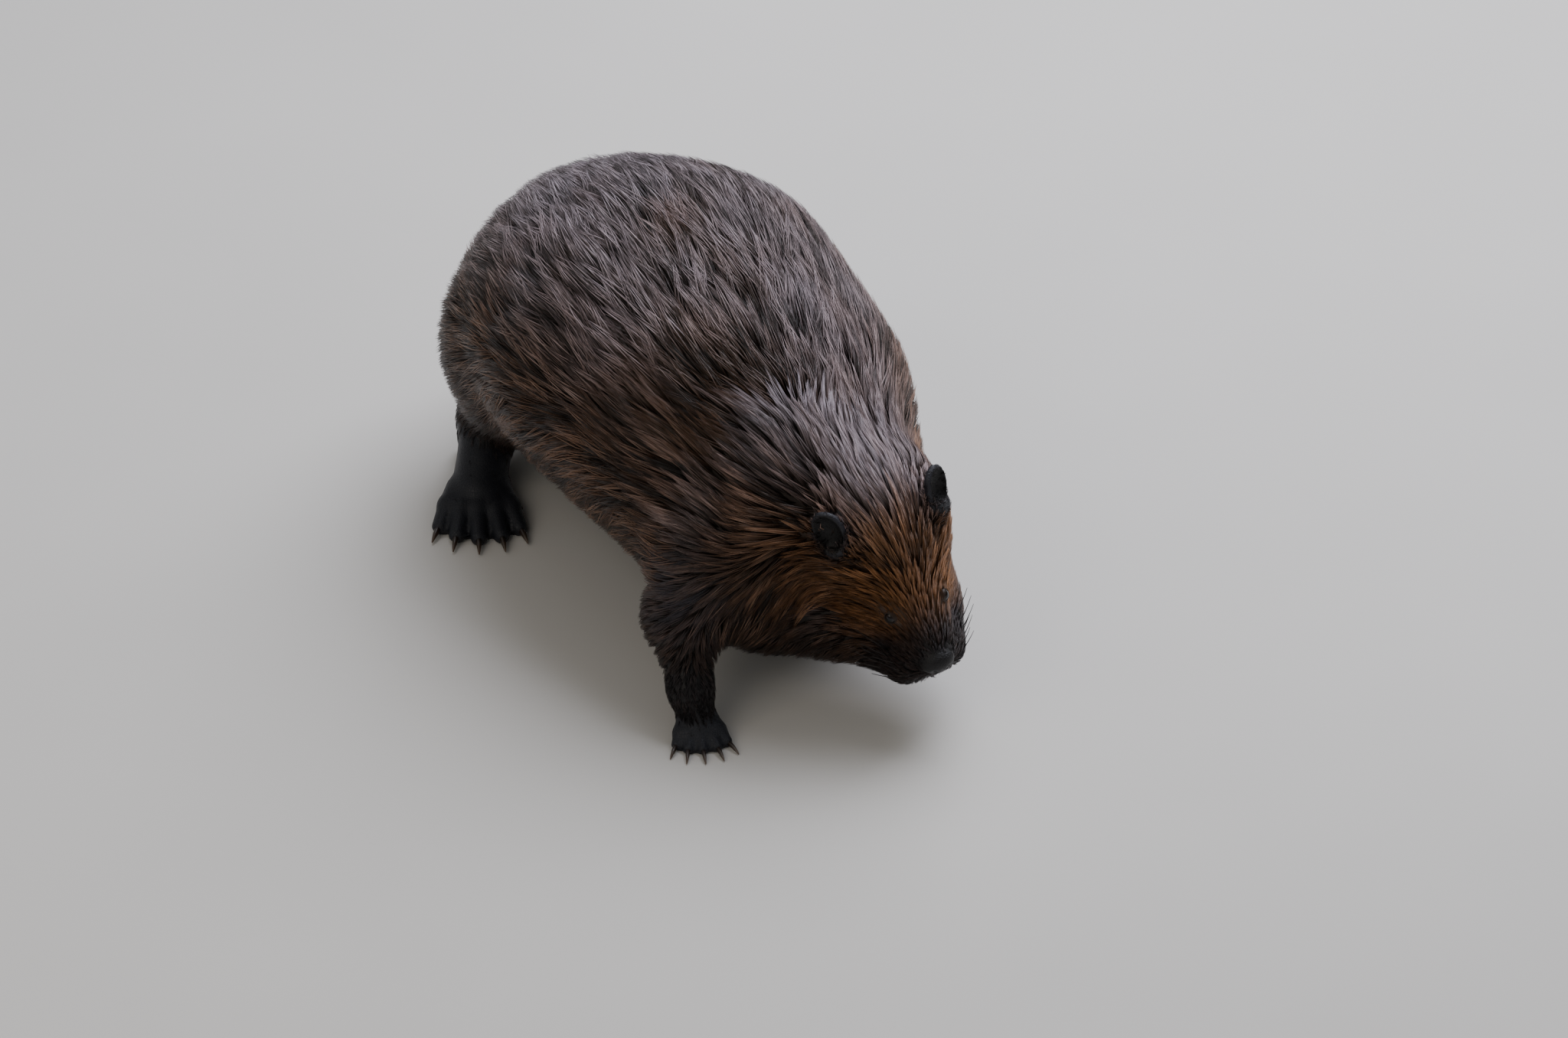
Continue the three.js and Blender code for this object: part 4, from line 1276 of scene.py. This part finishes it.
def strand_centres(line, normal, way, traits, length, beside, strands, spread, gather):
    """
    Each strand's middle line: the guide line, moved aside by the strand's order in the lock. Aside
    and beside shrink towards the tip by (1 - tight s^0.8), where s runs from 0 to 1 along the strand.
    """
    count, rings = line.shape[:2]
    s = np.linspace(0, 1, rings)
    room = (traits[:, COLUMN["spacing"]] * spread)[:, None]
    order = (np.arange(strands) + 0.5) / strands * 2 - 1
    aside = (order + dice.uniform(-0.3, 0.3, (count, strands))) * room
    ahead = dice.uniform(-1.3, 1.3, (count, strands)) * room
    tight = gather * (1 - 1.3 * traits[:, COLUMN["lift"]])
    narrow = 1 - tight[:, None, None] * s ** 0.8
    bend = dice.normal(0, 0.02, (count, strands)) * length[:, None]
    limit = 1.6 * traits[:, COLUMN["spacing"]]
    beside = np.clip(beside, -limit, limit)[:, None, None]
    sideways = (aside[..., None] + beside) * narrow - beside + bend[..., None] * (s ** 2 - 0.6 * s)
    forwards = ahead[..., None] * (1 - 0.35 * s)
    depth = traits[:, COLUMN["depth"]][:, None, None]
    upwards = dice.normal(0, 0.05, (count, strands))[..., None] * depth * s
    across = np.cross(normal, way)
    centre = (line[:, None] + across[:, None] * sideways[..., None] + way[:, None] * forwards[..., None]
              + normal[:, None] * upwards[..., None])
    centre[..., 2] = np.maximum(centre[..., 2], STRAND_FLOOR)
    return centre


def strand_skins(centre, normal, half):
    """A flattened triangle round each place of a strand but its last; half is half its width."""
    count, strands, rings = centre.shape[:3]
    run = unit(np.gradient(centre, axis=2))
    side = unit(np.cross(normal[:, None], run))
    top = np.cross(run, side)
    corners = np.arange(STRAND_SIDES) * 2 * np.pi / 3
    spin = (dice.uniform(0, 2 * np.pi, (count, strands))[..., None] + corners)[:, :, None]
    breadth = (half[..., None] * np.array(PROFILE[rings]))[..., None]
    ring = (centre[:, :, :-1, None] + side[:, :, :-1, None] * (np.cos(spin) * breadth)[..., None]
            + top[:, :, :-1, None] * (np.sin(spin) * breadth * FLATNESS)[..., None])
    return np.concatenate([ring.reshape(count, strands, -1, 3), centre[:, :, -1:]], 2)


print("a strand of 4 rings has", len(tube_faces(3, STRAND_SIDES)), "triangles")

# %% [markdown]
# ## Tones of a strand
# A hair has painted shade at its root, has the coat's colour along its shaft, and on locks that face up
# its tip carries a painted reflection of the sky. How much it does differs over the back, where the coat lies
# wetter or drier, so soft round patches add to this painted reflection or take from it. Along the nape's fold
# a painted highlight lies on the ridge and painted shade in the valley. Two more patches are a painted cool
# sheen on the shoulder and painted shade behind the head.

# %% Painted sky reflection and tones
# Patches of painted sky reflection: each has a middle, a radius in mm and an amount.
SKY_REFLECTION_PATCHES = [((-200, 33, 359), 95, 0.2), ((-75, 30, 350), 90, -0.24), ((88, -30, 275), 60, -0.9),
                 ((20, -90, 230), 60, -0.15), ((205, 75, 235), 45, 0.3), ((128, 22, 279), 24, 0.5)]
# A painted cool sheen on the shoulder and painted shade behind the head, each a middle and a radius in mm.
SHEEN_PATCH, SHEEN = ((125.0, -89.0, 143.0), 34), linear("#565865")
SHADE_PATCH = ((80.0, -25.0, 280.0), 52)
# Share of the shaft's colour left at a hair's root: painted shade, where the locks cover the roots.
ROOT_SHADE = 0.22


def bell(spots, middle, radius):
    """A soft round patch: 1 at its middle, falling with exp(-(distance / radius)^2)."""
    return np.exp(-(np.linalg.norm(spots - np.array(middle), axis=1) / radius) ** 2)


def strand_tones(roots, up, traits, chance, rings):
    """Painted shade at the root, full colour along the shaft, and a painted reflection of the sky at the tip
    on locks that face up.
    """
    strands = chance.shape[1]
    chance = chance.ravel()
    each = [np.repeat(traits[:, COLUMN[name]], strands) for name in ("warm", "dark", "lift")]
    spots, facing = np.repeat(roots, strands, axis=0), np.repeat(up, strands)
    shaft = coat_tone(spots, *each, chance) * np.exp(0.42 * np.clip(chance, -2, 1.7))[:, None]
    ahead, share = nape_fold(*spots.T)
    nape = smooth(2, 22, ahead) * (1 - smooth(60, 100, ahead)) * smooth(-70, -20, spots[:, 1])
    # Painted sky reflection: stronger on the nape, with a painted highlight along the ridge of the fold.
    painted_sky_reflection = 0.4 + 0.12 * ripple(spots, 60, 9) + 0.22 * chance + 0.25 * nape * smooth(185, 225, spots[:, 2])
    painted_sky_reflection += 0.35 * share * np.exp(-((ahead - 19) / 12) ** 2)
    for middle, radius, amount in SKY_REFLECTION_PATCHES:
        painted_sky_reflection += amount * bell(spots, middle, radius)
    painted_sky_reflection = smooth(0.1, 0.95, facing) * np.clip(painted_sky_reflection, 0, 0.9) * (1 - 0.5 * each[0]) * (1 - each[1])
    tip = mix(shaft, PAINTED_SKY_GREY, painted_sky_reflection) * 1.1
    # Painted shade in the fold's valley, then a painted cool sheen on the shoulder and painted shade behind
    # the head.
    tip = tip * (1 - 0.6 * share * np.exp(-((ahead + 8) / 13) ** 2))[:, None]
    tip = mix(tip, SHEEN, 0.5 * bell(spots, *SHEEN_PATCH))
    tip = tip * (1 - 0.45 * bell(spots, *SHADE_PATCH))[:, None]
    reach = [smooth(0, 1, np.full(len(tip), ring / (rings - 1)) * 1.25) for ring in range(rings)]
    tones = np.stack([mix(shaft * ROOT_SHADE, tip, s) for s in reach], 1)
    tones = tones.reshape(len(roots), strands, rings, 3)
    rings_tone = np.repeat(tones[:, :, :-1], STRAND_SIDES, axis=2)
    return np.concatenate([rings_tone, tones[:, :, -1:]], 2)


print(len(SKY_REFLECTION_PATCHES), "patches of frost")

# %% [markdown]
# ## Growing a batch of locks
# One call grows all the locks of a kind, from roots to points and tones. Chance turns, lengthens
# and lightens each lock a little, and broad ripples turn whole areas together, as combing with
# the claws does. Short hair is calmer than long hair.

# %% Grow locks


def grow_locks(roots, strands, rings, spread, gather, seeds=0.3, wide=1.0, longer=1.0,
               light=0.0, stray=3.0, above=0.0, streak=0.5):
    """
    Points and tones of the strands of all the locks that start at the roots. Locks are this much wider
    and longer than the coat's own sizes, lighter by that share, which paints light on the locks laid over and
    shade on the base under them, turned by so many degrees of chance,
    and lie above the rest by that share of the coat's depth; streak is how much joined locks differ.
    """
    traits = coat_at(roots)
    count = len(roots)
    calm = 0.35 + 0.65 * smooth(16, 40, traits[:, COLUMN["length"]])
    flow = np.radians(11) * ripple(roots, 62, 5) + np.radians(8) * ripple(roots, 21, 6)
    flow = calm * (flow + np.radians(stray) * dice.normal(size=count))
    normal = unit(slope(roots, body_distance))
    along = lie_of(roots, traits, normal)
    beside, seed = gather_to(roots, np.cross(normal, along), along, seeds)
    seed_chance, seed_raise = dice.normal(size=(2, seed.max() + 1))
    raise_by = 0.3 * seed_raise[seed] + 0.15 * dice.normal(size=count)
    length = traits[:, COLUMN["length"]] * dice.uniform(0.75, 1.2, count) * longer
    length = clear_of_fold(roots, clear_of_ears(roots, along, length))
    line, normal, way = guide_lines(roots, traits, rings, flow, length, raise_by, above)
    centre = strand_centres(line, normal, way, traits, length, beside, strands, spread, gather)
    half = traits[:, COLUMN["width"]][:, None] * dice.uniform(0.7, 1.3, (count, strands)) * wide / 2
    points = strand_skins(centre, normal, half)
    # The share of lightness paints light on the locks laid over and shade on the base under them.
    lock_chance = light + streak * seed_chance[seed] + 0.2 * dice.normal(size=count)
    chance = lock_chance[:, None] + 0.55 * dice.normal(size=(count, strands))
    return points, strand_tones(roots, normal[:, 0, 2], traits, chance, rings)


root_coats = coat_at(roots)
print("hairs from", root_coats[:, COLUMN["length"]].min().round(1), "to",
      root_coats[:, COLUMN["length"]].max().round(1), "mm, before chance")

# %% [markdown]
# ## Which piece a lock belongs to
# The coat is cut into pieces by part of the body, so that each stays a size that any program
# opens. A root belongs to the flesh it is nearest to, and to the side of the midline it is on;
# the head has a midline of its own, because it is turned.

# %% Regions
TRUNK_Y = 57.0
REGIONS = {
    "rump": ("rump",), "back": ("back",), "chest": ("chest",), "shoulder": ("shoulder",),
    "neck": ("neck", "throat"), "head": ("crown", "face", "bridge", "nose"),
    "jaw": ("cheek", "jaw", "lip"), "ear": ("ear",), "hind_leg": ("thigh", "shank", "foot"),
    "fore_leg": ("arm", "forearm", "paw", "toe"), "tail_root": ("tail root", "blade"),
}


def owner(points):
    """The name of the region whose flesh is nearest to each point, and its side of the body."""
    kinds = {id(COATS[kind]): region for region, names in REGIONS.items() for kind in names}
    names = np.array(list(REGIONS))
    best, found = np.full(len(points), 1e3), np.zeros(len(points), int)
    for part in flesh:
        near = np.flatnonzero(((points > part["low"]) & (points < part["high"])).all(1))
        d = part["distance"](*points[near].T)
        closer = d < best[near]
        best[near[closer]] = d[closer]
        found[near[closer]] = list(REGIONS).index(kinds[id(part["coat"])])
    local = to_head(points)[:, 1]
    on_head_part = np.isin(names[found], ["head", "jaw", "ear"])
    left = np.where(on_head_part, local > 0, points[:, 1] > TRUNK_Y)
    return names[found], left


regions, left = owner(roots)
print(len(REGIONS), "regions;", int(left.sum()), "roots on the left,", int((~left).sum()), "on the right")

# %% [markdown]
# ## A map for every strand
# Each piece has a map named OFBake. It lays the skin under the piece flat, by the angle about
# that part's own axis and the place along it, and every strand is a small patch at its root's
# place there, so that a picture baked on it gives each strand its own few dots.

# %% Charts and patches
AXES = {"head": HEAD[:, 0], "jaw": HEAD[:, 0], "ear": HEAD[:, 0], "hind_leg": (0, 0, 1),
        "fore_leg": (0, 0, 1), "tail_root": (-0.6, 0.3, -0.72)}
TRUNK_HEIGHT = 160.0
PATCH = 0.003
MAP_EDGE = 0.01


def chart(roots, region):
    """Angle about the part's axis and place along it, each stretched over nearly the whole map."""
    axis = unit(np.array(AXES.get(region, (1.0, 0, 0)), float))
    middle = roots.mean(0)
    if region not in AXES:
        middle[1:] = TRUNK_Y, TRUNK_HEIGHT
    over = unit(np.cross(axis, [0.0, 1.0, 0.0]))
    away = roots - middle
    angle = np.arctan2(away @ np.cross(axis, over), away @ over)
    uv = np.stack([angle, away @ axis], 1)
    low, high = uv.min(0), uv.max(0)
    return MAP_EDGE + (1 - 2 * MAP_EDGE) * (uv - low) / np.maximum(high - low, 1e-6)


def patch(rings):
    """A strand's own little map: its sides across and its length along."""
    across = np.append(np.tile([-0.5, 0.5, 0.0], rings - 1), 0.0)
    along = np.append(np.repeat(np.arange(rings - 1), STRAND_SIDES), rings - 1) / (rings - 1) - 0.5
    return np.stack([across, along], 1) * PATCH


print("a patch of a strand with 4 rings has", len(patch(4)), "points,", PATCH, "across")

# %% [markdown]
# ## Kinds of locks
# Long hair lies in two layers, which is what gives a damp coat its depth. Underneath, a base of
# locks painted dark, as in the shade of the locks over it, covers the trunk. Over it, one root in ten low
# down and more towards the back carries a long lock painted light, as lit, whose strands meet in one point
# and stray further. At the nape the locks join into broad wet streaks instead. Hair of middle length and the
# short hair of the face have only two rings and a tip, which is enough for a hair that hardly bends.

# %% Sort the roots
LONG_HAIR, FACE_HAIR = 27.0, 17.0
NAPE_AHEAD, NAPE_LOW, NAPE_RIGHT = (6, 140), 140, -85
OVER_LOW, OVER_MORE = 0.1, 0.18
lengths = root_coats[:, COLUMN["length"]]
long_ones, short_ones = lengths > LONG_HAIR, lengths <= FACE_HAIR
middling = ~long_ones & ~short_ones
ahead = nape_fold(*roots.T)[0]
nape = long_ones & (ahead > NAPE_AHEAD[0]) & (ahead < NAPE_AHEAD[1])
nape &= (roots[:, 2] > NAPE_LOW) & (roots[:, 1] > NAPE_RIGHT)
over_share = OVER_LOW + OVER_MORE * smooth(90, 190, roots[:, 2])
over = long_ones & ~nape & (dice.uniform(size=len(roots)) < over_share)
print(long_ones.sum(), "long locks,", nape.sum(), "of them at the nape,", over.sum(), "more lie over them;",
      middling.sum(), "middling and", short_ones.sum(), "short ones")

# %% [markdown]
# ## Laying the coat
# Every kind of lock is grown in one batch, with its own number of strands and its own pull
# towards the streaks, and the batch is filed by region and side.

# %% Lay the coat
coat_parts = {}


def lay_coat(roots, **shape):
    """Grows locks at the roots and files them under their region and side."""
    points, tone = grow_locks(roots, **shape)
    regions, left = owner(roots)
    for region in np.unique(regions):
        for side_name, side_left in (("right", False), ("left", True)):
            chosen = np.flatnonzero((regions == region) & (left == side_left))
            if len(chosen):
                coat_parts.setdefault((region, side_name), []).append(
                    (roots[chosen], points[chosen], tone[chosen], shape["rings"]))


# The base locks get painted shade and the locks laid over get painted light, through their share of
# lightness.
lay_coat(roots[long_ones & ~nape], strands=4, rings=4, spread=0.68, gather=0.65, wide=1.15, light=-0.75)
lay_coat(roots[over], strands=4, rings=4, spread=1.3, gather=0.98, seeds=1.0, wide=1.1,
         longer=1.2, light=1.35, stray=8.0, above=0.45)
lay_coat(roots[nape], strands=5, rings=4, spread=0.7, gather=0.97, seeds=0.14, wide=1.15,
         longer=1.25, streak=0.8)
lay_coat(roots[middling], strands=5, rings=3, spread=0.68, gather=0.85, streak=0.45)
lay_coat(roots[short_ones], strands=4, rings=3, spread=0.6, gather=0.75, streak=0.6)
print(len(coat_parts), "coat pieces to make")

# %% [markdown]
# ## The coat's pieces
# The batches of one region and side are joined to one mesh: points, tones and triangles one
# after another, and a map on which each strand's patch lies at its root, moved by a little
# chance so that the strands of a lock don't share one spot.

# %% Make the coat's pieces
total = 0
for (region, side_name), batches in sorted(coat_parts.items()):
    all_points, all_tones, all_faces, all_uv = [], [], [], []
    everywhere = chart(np.concatenate([batch[0] for batch in batches]), region)
    start, used = 0, 0
    for _, points, tone, rings in batches:
        count, strands, each = points.shape[:3]
        faces = repeat_faces(tube_faces(rings - 1, STRAND_SIDES), count * strands, each)
        here = everywhere[used:used + count]
        uv = here[:, None, None] + patch(rings)[None, None]
        uv = uv + dice.uniform(-1.5, 1.5, (count, strands, 1, 2)) * PATCH
        all_points.append(points.reshape(-1, 3))
        all_tones.append(tone.reshape(-1, 3))
        all_uv.append(np.clip(uv, 0, 1).reshape(-1, 2))
        all_faces.append(faces + start)
        start += count * strands * each
        used += count
    faces = np.concatenate(all_faces)
    total += len(faces)
    make_piece(f"coat_{region}_{side_name}", np.concatenate(all_points), faces, guard_hair,
               np.concatenate(all_tones), uv=np.concatenate(all_uv))
print("coat:", total, "triangles")

# %% [markdown]
# ## Places for the tail's scales
# The blade is paved with horny six-sided plates in staggered rows. A pattern in the material
# would be flat at the rim, so the plates are real. Their places are laid out by arc length round
# the blade's section, so that they wrap the rim too, and a second flat layer paves the underside
# that lies on the floor.

# %% Rows of scales
SCALE_LONG, SCALE_WIDE = 6.4, 5.6
ROW_STEP = SCALE_LONG * 0.78
WRAP = 2.4


def section_lattice():
    """
    Places on the blade's ellipsoid: rows along it, and even steps of arc round each section, as far
    as an angle of WRAP radians to both sides of its crest.
    """
    angle = np.linspace(-WRAP, WRAP, 400)
    outline = np.stack([np.sin(angle) * TAIL_SIZE[1], np.cos(angle) * TAIL_SIZE[2]], 1)
    arc = np.concatenate([[0], np.cumsum(np.linalg.norm(np.diff(outline, axis=0), axis=1))])
    arc -= arc.mean()
    rows = np.arange(-TAIL_SIZE[0] + 2, TAIL_SIZE[0], ROW_STEP)
    columns = np.arange(-30, 31)
    row, column = np.meshgrid(rows, columns, indexing="ij")
    odd = (np.arange(len(rows)) % 2)[:, None]
    shrink = np.sqrt(np.maximum(1 - (row / TAIL_SIZE[0]) ** 2, 1e-3))
    round_it = (column + 0.5 * odd) * SCALE_WIDE / shrink
    fits = np.abs(round_it) < arc[-1]
    turn_by = np.interp(round_it[fits], arc, angle)
    local = np.stack([row[fits], np.sin(turn_by) * TAIL_SIZE[1] * shrink[fits],
                      np.cos(turn_by) * TAIL_SIZE[2] * shrink[fits]], 1)
    return TAIL_AT + local @ TAIL_AXES.T


def flat_lattice():
    """Places under the blade, in staggered rows on the flat that it rests on."""
    row, column = np.meshgrid(np.arange(-28, 29), np.arange(-14, 15), indexing="ij")
    places = [row * ROW_STEP, (column + 0.5 * (row % 2)) * SCALE_WIDE, 0 * row]
    spots = TAIL_AT + np.stack(places, -1).reshape(-1, 3) @ TAIL_AXES.T
    spots[:, 2] = SCALE_ROOM
    return spots


print("places for", len(section_lattice()), "scales above and", len(flat_lattice()), "below")

# %% [markdown]
# ## The scales
# A scale is a small hexagonal plate: rings of a hexagon at rising heights, closed by its middle
# and tilted up a little at one end. Every place is first settled on the skin, and kept only if
# it lies on the scaly blade. The flat ones stay within the half millimetre left for them.

# %% Tail scales
SCALE_RINGS = [(-0.5, 0.50), (0.28, 0.49), (0.62, 0.36)]
FLAT_RINGS = [(-0.4, 0.5), (0.3, 0.48), (0.42, 0.4)]
SCALE_BLACK, SCALE_GREY = linear("#1c1b1e"), linear("#3a3739")
TILT, SEAM_TONE = 0.35, 0.55


def plates(spots, normal, heights):
    """Rings of a hexagon at each place: middle + normal height + (along cos + across sin) reach."""
    along = unit(TAIL_AXES[:, 0] - normal * (normal @ TAIL_AXES[:, 0])[:, None])
    across = np.cross(normal, along)
    vary = dice.uniform(0.9, 1.06, (len(spots), 1, 1))
    angle = np.arange(6) * np.pi / 3
    rings = []
    for height, reach in heights:
        tilt = TILT * np.cos(angle)[None, :, None] * (height > 0)
        rings.append(spots[:, None] + normal[:, None] * (height + tilt * normal[:, 2:3, None].clip(0, 1))
                     + along[:, None] * (np.cos(angle) * SCALE_LONG * reach)[None, :, None] * vary
                     + across[:, None] * (np.sin(angle) * SCALE_WIDE * reach * 1.1)[None, :, None] * vary)
    middle = spots + normal * (heights[-1][0] + 0.08)
    return np.concatenate([np.concatenate(rings, 1), middle[:, None]], 1)


def pave(spots, heights, downwards=False):
    """Plates on the skin near the given places, on the blade's upper side and rim or under it."""
    spots = settle(spots, 4.0, rounds=3)
    normal = unit(slope(spots, skin_distance))
    keep = (body(spots, ("plate",))[1][:, 0] > 0.55) & (np.abs(skin_distance(spots)) < 0.5)
    keep &= (normal[:, 2] < -0.9) if downwards else ((normal[:, 2] > -0.6) & (spots[:, 2] > 1.2))
    return plates(spots[keep], normal[keep], heights)


top = pave(section_lattice(), SCALE_RINGS)
bottom = pave(flat_lattice(), FLAT_RINGS, downwards=True)
scales = np.concatenate([top, bottom])
scales[..., 2] = np.maximum(scales[..., 2], 0.0)
plate_tone = mix(SCALE_BLACK, SCALE_GREY, dice.uniform(0, 1, len(scales)) ** 2)
plate_tone = np.repeat(plate_tone[:, None], scales.shape[1], axis=1)
plate_tone[:, :12] *= SEAM_TONE
scale_faces = repeat_faces(tube_faces(len(SCALE_RINGS), 6), len(scales), scales.shape[1])
make_piece("tail_scales", scales.reshape(-1, 3), scale_faces, tail_scale,
           plate_tone.reshape(-1, 3))
print(len(top), "scales above,", len(bottom), "below")

# %% [markdown]
# ## Whiskers
# Stiff black bristles stand on the lips. A bristle is a tapered tube, never thinner than half a
# millimetre, so that it could be printed, and it is swept back along the muzzle. A curve with a
# bevel would do the same, but tube and taper here are the ones that hair and claws use.

# %% Whiskers
WHISKERS, WHISKER_RINGS, WHISKER_SIDES = 8, 7, 5
BRISTLE_BLACK = linear("#1a1411")


def whisker_roots(side):
    """Two rows of four on a lip, moved by chance and then on to the coat's outside."""
    row, column = np.divmod(np.arange(WHISKERS), 4)
    start = np.stack([119 - 6.0 * column, np.full(WHISKERS, side * 26.0), -52 - 9.0 * row], 1)
    start += dice.normal(0, 0.8, (WHISKERS, 3))
    start = HEAD_AT + start @ HEAD.T
    for _ in range(4):
        start = start - body_distance(start)[:, None] * unit(slope(start, body_distance))
    return start, column


def whisker_paths(side):
    """From 1.5 mm inside: length (t (0.6 out + sweep) + 0.22 t t sweep), with t from 0 to 1."""
    start, column = whisker_roots(side)
    out = unit(slope(start, body_distance))
    sweep = unit(np.array([-0.9, side * 0.35, -0.25]) + dice.normal(0, 0.1, (WHISKERS, 3))) @ HEAD.T
    length = (13 + 2.5 * column + dice.uniform(0, 4, WHISKERS))[:, None, None]
    t = np.linspace(0, 1, WHISKER_RINGS)[None, :, None]
    reach = t * unit(0.6 * out + sweep)[:, None] + 0.22 * t ** 2 * sweep[:, None]
    return start[:, None] - out[:, None] * 1.5 + length * reach, t


whisker_points = []
for side in SIDES.values():
    path, t = whisker_paths(side)
    run = unit(np.gradient(path, axis=1))
    across = unit(np.cross(run, [0.3, 0.2, 1.0]))
    top = np.cross(across, run) * -1
    angle = np.arange(WHISKER_SIDES) * 2 * np.pi / WHISKER_SIDES
    radius = (0.55 - 0.29 * t)[..., None]
    round_it = np.cos(angle)[:, None] * across[:, :, None] + np.sin(angle)[:, None] * top[:, :, None]
    ring = (path[:, :, None] + radius * round_it).reshape(WHISKERS, -1, 3)
    whisker_points.append(np.concatenate([ring, path[:, -1:] + run[:, -1:] * 0.3], 1))
whisker_points = np.concatenate(whisker_points)
faces = repeat_faces(tube_faces(WHISKER_RINGS, WHISKER_SIDES), len(whisker_points), whisker_points.shape[1])
make_piece("whiskers", whisker_points.reshape(-1, 3), faces, claw_horn, BRISTLE_BLACK)

# %% [markdown]
# ## Floor
# The animal stands on plain pale studio paper, wide enough to fill the view.

# %% Floor
# Matt studio paper: almost no gloss, and a faint mottle so that it isn't one flat tone.
paper, tree, shader = new_material("matt_studio_paper", Roughness=0.9)
place = add_node(tree, "ShaderNodeTexCoord").outputs["Object"]
mottle = add_node(tree, "ShaderNodeTexNoise", Vector=place, Scale=3.0, Detail=2.0)
ramp = add_node(tree, "ShaderNodeMix", {"data_type": "RGBA"}, _0=mottle.outputs["Fac"],
                _6=(*linear("#cfcdc8"), 1), _7=(*linear("#d8d6d1"), 1))
tree.links.new(ramp.outputs[2], shader.inputs["Base Color"])
FLOOR_HALF = 12.0
floor_mesh = bpy.data.meshes.new("studio_floor")
floor_mesh.from_pydata([(-FLOOR_HALF, -FLOOR_HALF, 0), (FLOOR_HALF, -FLOOR_HALF, 0),
                        (FLOOR_HALF, FLOOR_HALF, 0), (-FLOOR_HALF, FLOOR_HALF, 0)], [], [(0, 1, 2, 3)])
floor_mesh.materials.append(paper)
floor = bpy.data.objects.new("studio_floor", floor_mesh)
bpy.context.scene.collection.objects.link(floor)
print("floor", 2 * FLOOR_HALF, "m wide")

# %% [markdown]
# ## Light
# The light is soft, as under an overcast sky: a broad cool panel high up beyond the animal, which
# puts the sheen on the back, a weak warm-white one from the camera's left, and a pale world that
# fills the shadows. A sharp sun would show every facet of a strand.

# %% Light
world = bpy.data.worlds.new("pale_room")
world.use_nodes = True
world.node_tree.nodes["Background"].inputs["Color"].default_value = (*linear("#e6e5e4"), 1)
world.node_tree.nodes["Background"].inputs["Strength"].default_value = 0.34
bpy.context.scene.world = world


def towards(azimuth, elevation):
    """The way to a place at that elevation, and azimuth from the animal's right (0) to its nose (90)."""
    a, e = np.radians([azimuth, elevation])
    return Vector((np.sin(a) * np.cos(e), -np.cos(a) * np.cos(e), np.sin(e)))


def soft_light(name, azimuth, elevation, distance, size, watts, colour):
    """A square area light that points at the middle of the floor under the animal."""
    back = towards(azimuth, elevation)
    data = bpy.data.lights.new(name, "AREA")
    data.size, data.energy, data.color = size, watts, tuple(linear(colour))
    lamp = bpy.data.objects.new(name, data)
    lamp.location = back * distance
    lamp.rotation_euler = (-back).to_track_quat("-Z", "Y").to_euler()
    bpy.context.scene.collection.objects.link(lamp)
    print(f"{name}: {watts} W, {size} m wide, {distance} m away")


soft_light("sky_panel", 200, 58, 2.6, 2.4, 110, "#eef0fb")
soft_light("front_panel", 20, 40, 3.0, 1.8, 14, "#fff4e6")

# %% [markdown]
# ## Camera
# The camera looks down at 35 degrees from the animal's right and front, from far away with a
# long lens, so that the far parts don't shrink. The lens's length follows from the width that
# the view takes in at that distance.

# %% Camera
AIM_AT = np.array([94.1, 28.2, 160.5])
CAMERA_DISTANCE = 8.0
VIEW_WIDTH = 1.4124
SENSOR = 36.0
back = towards(57, 35)
lens = bpy.data.cameras.new("long_lens")
lens.sensor_width = SENSOR
lens.lens = SENSOR * CAMERA_DISTANCE / VIEW_WIDTH
lens.clip_end = 100.0
camera = bpy.data.objects.new("camera", lens)
camera.location = Vector(to_row(AIM_AT)) + back * CAMERA_DISTANCE
camera.rotation_euler = (-back).to_track_quat("-Z", "Y").to_euler()
bpy.context.scene.collection.objects.link(camera)
bpy.context.scene.camera = camera
print("lens", round(lens.lens, 1), "mm at", CAMERA_DISTANCE, "m")

# %% [markdown]
# ## Sizes, and the end
# The imported box is written out.

# %% Write the sizes and finish
print("cad box", [round(v, 4) for v in (*cad_low, *cad_high)])
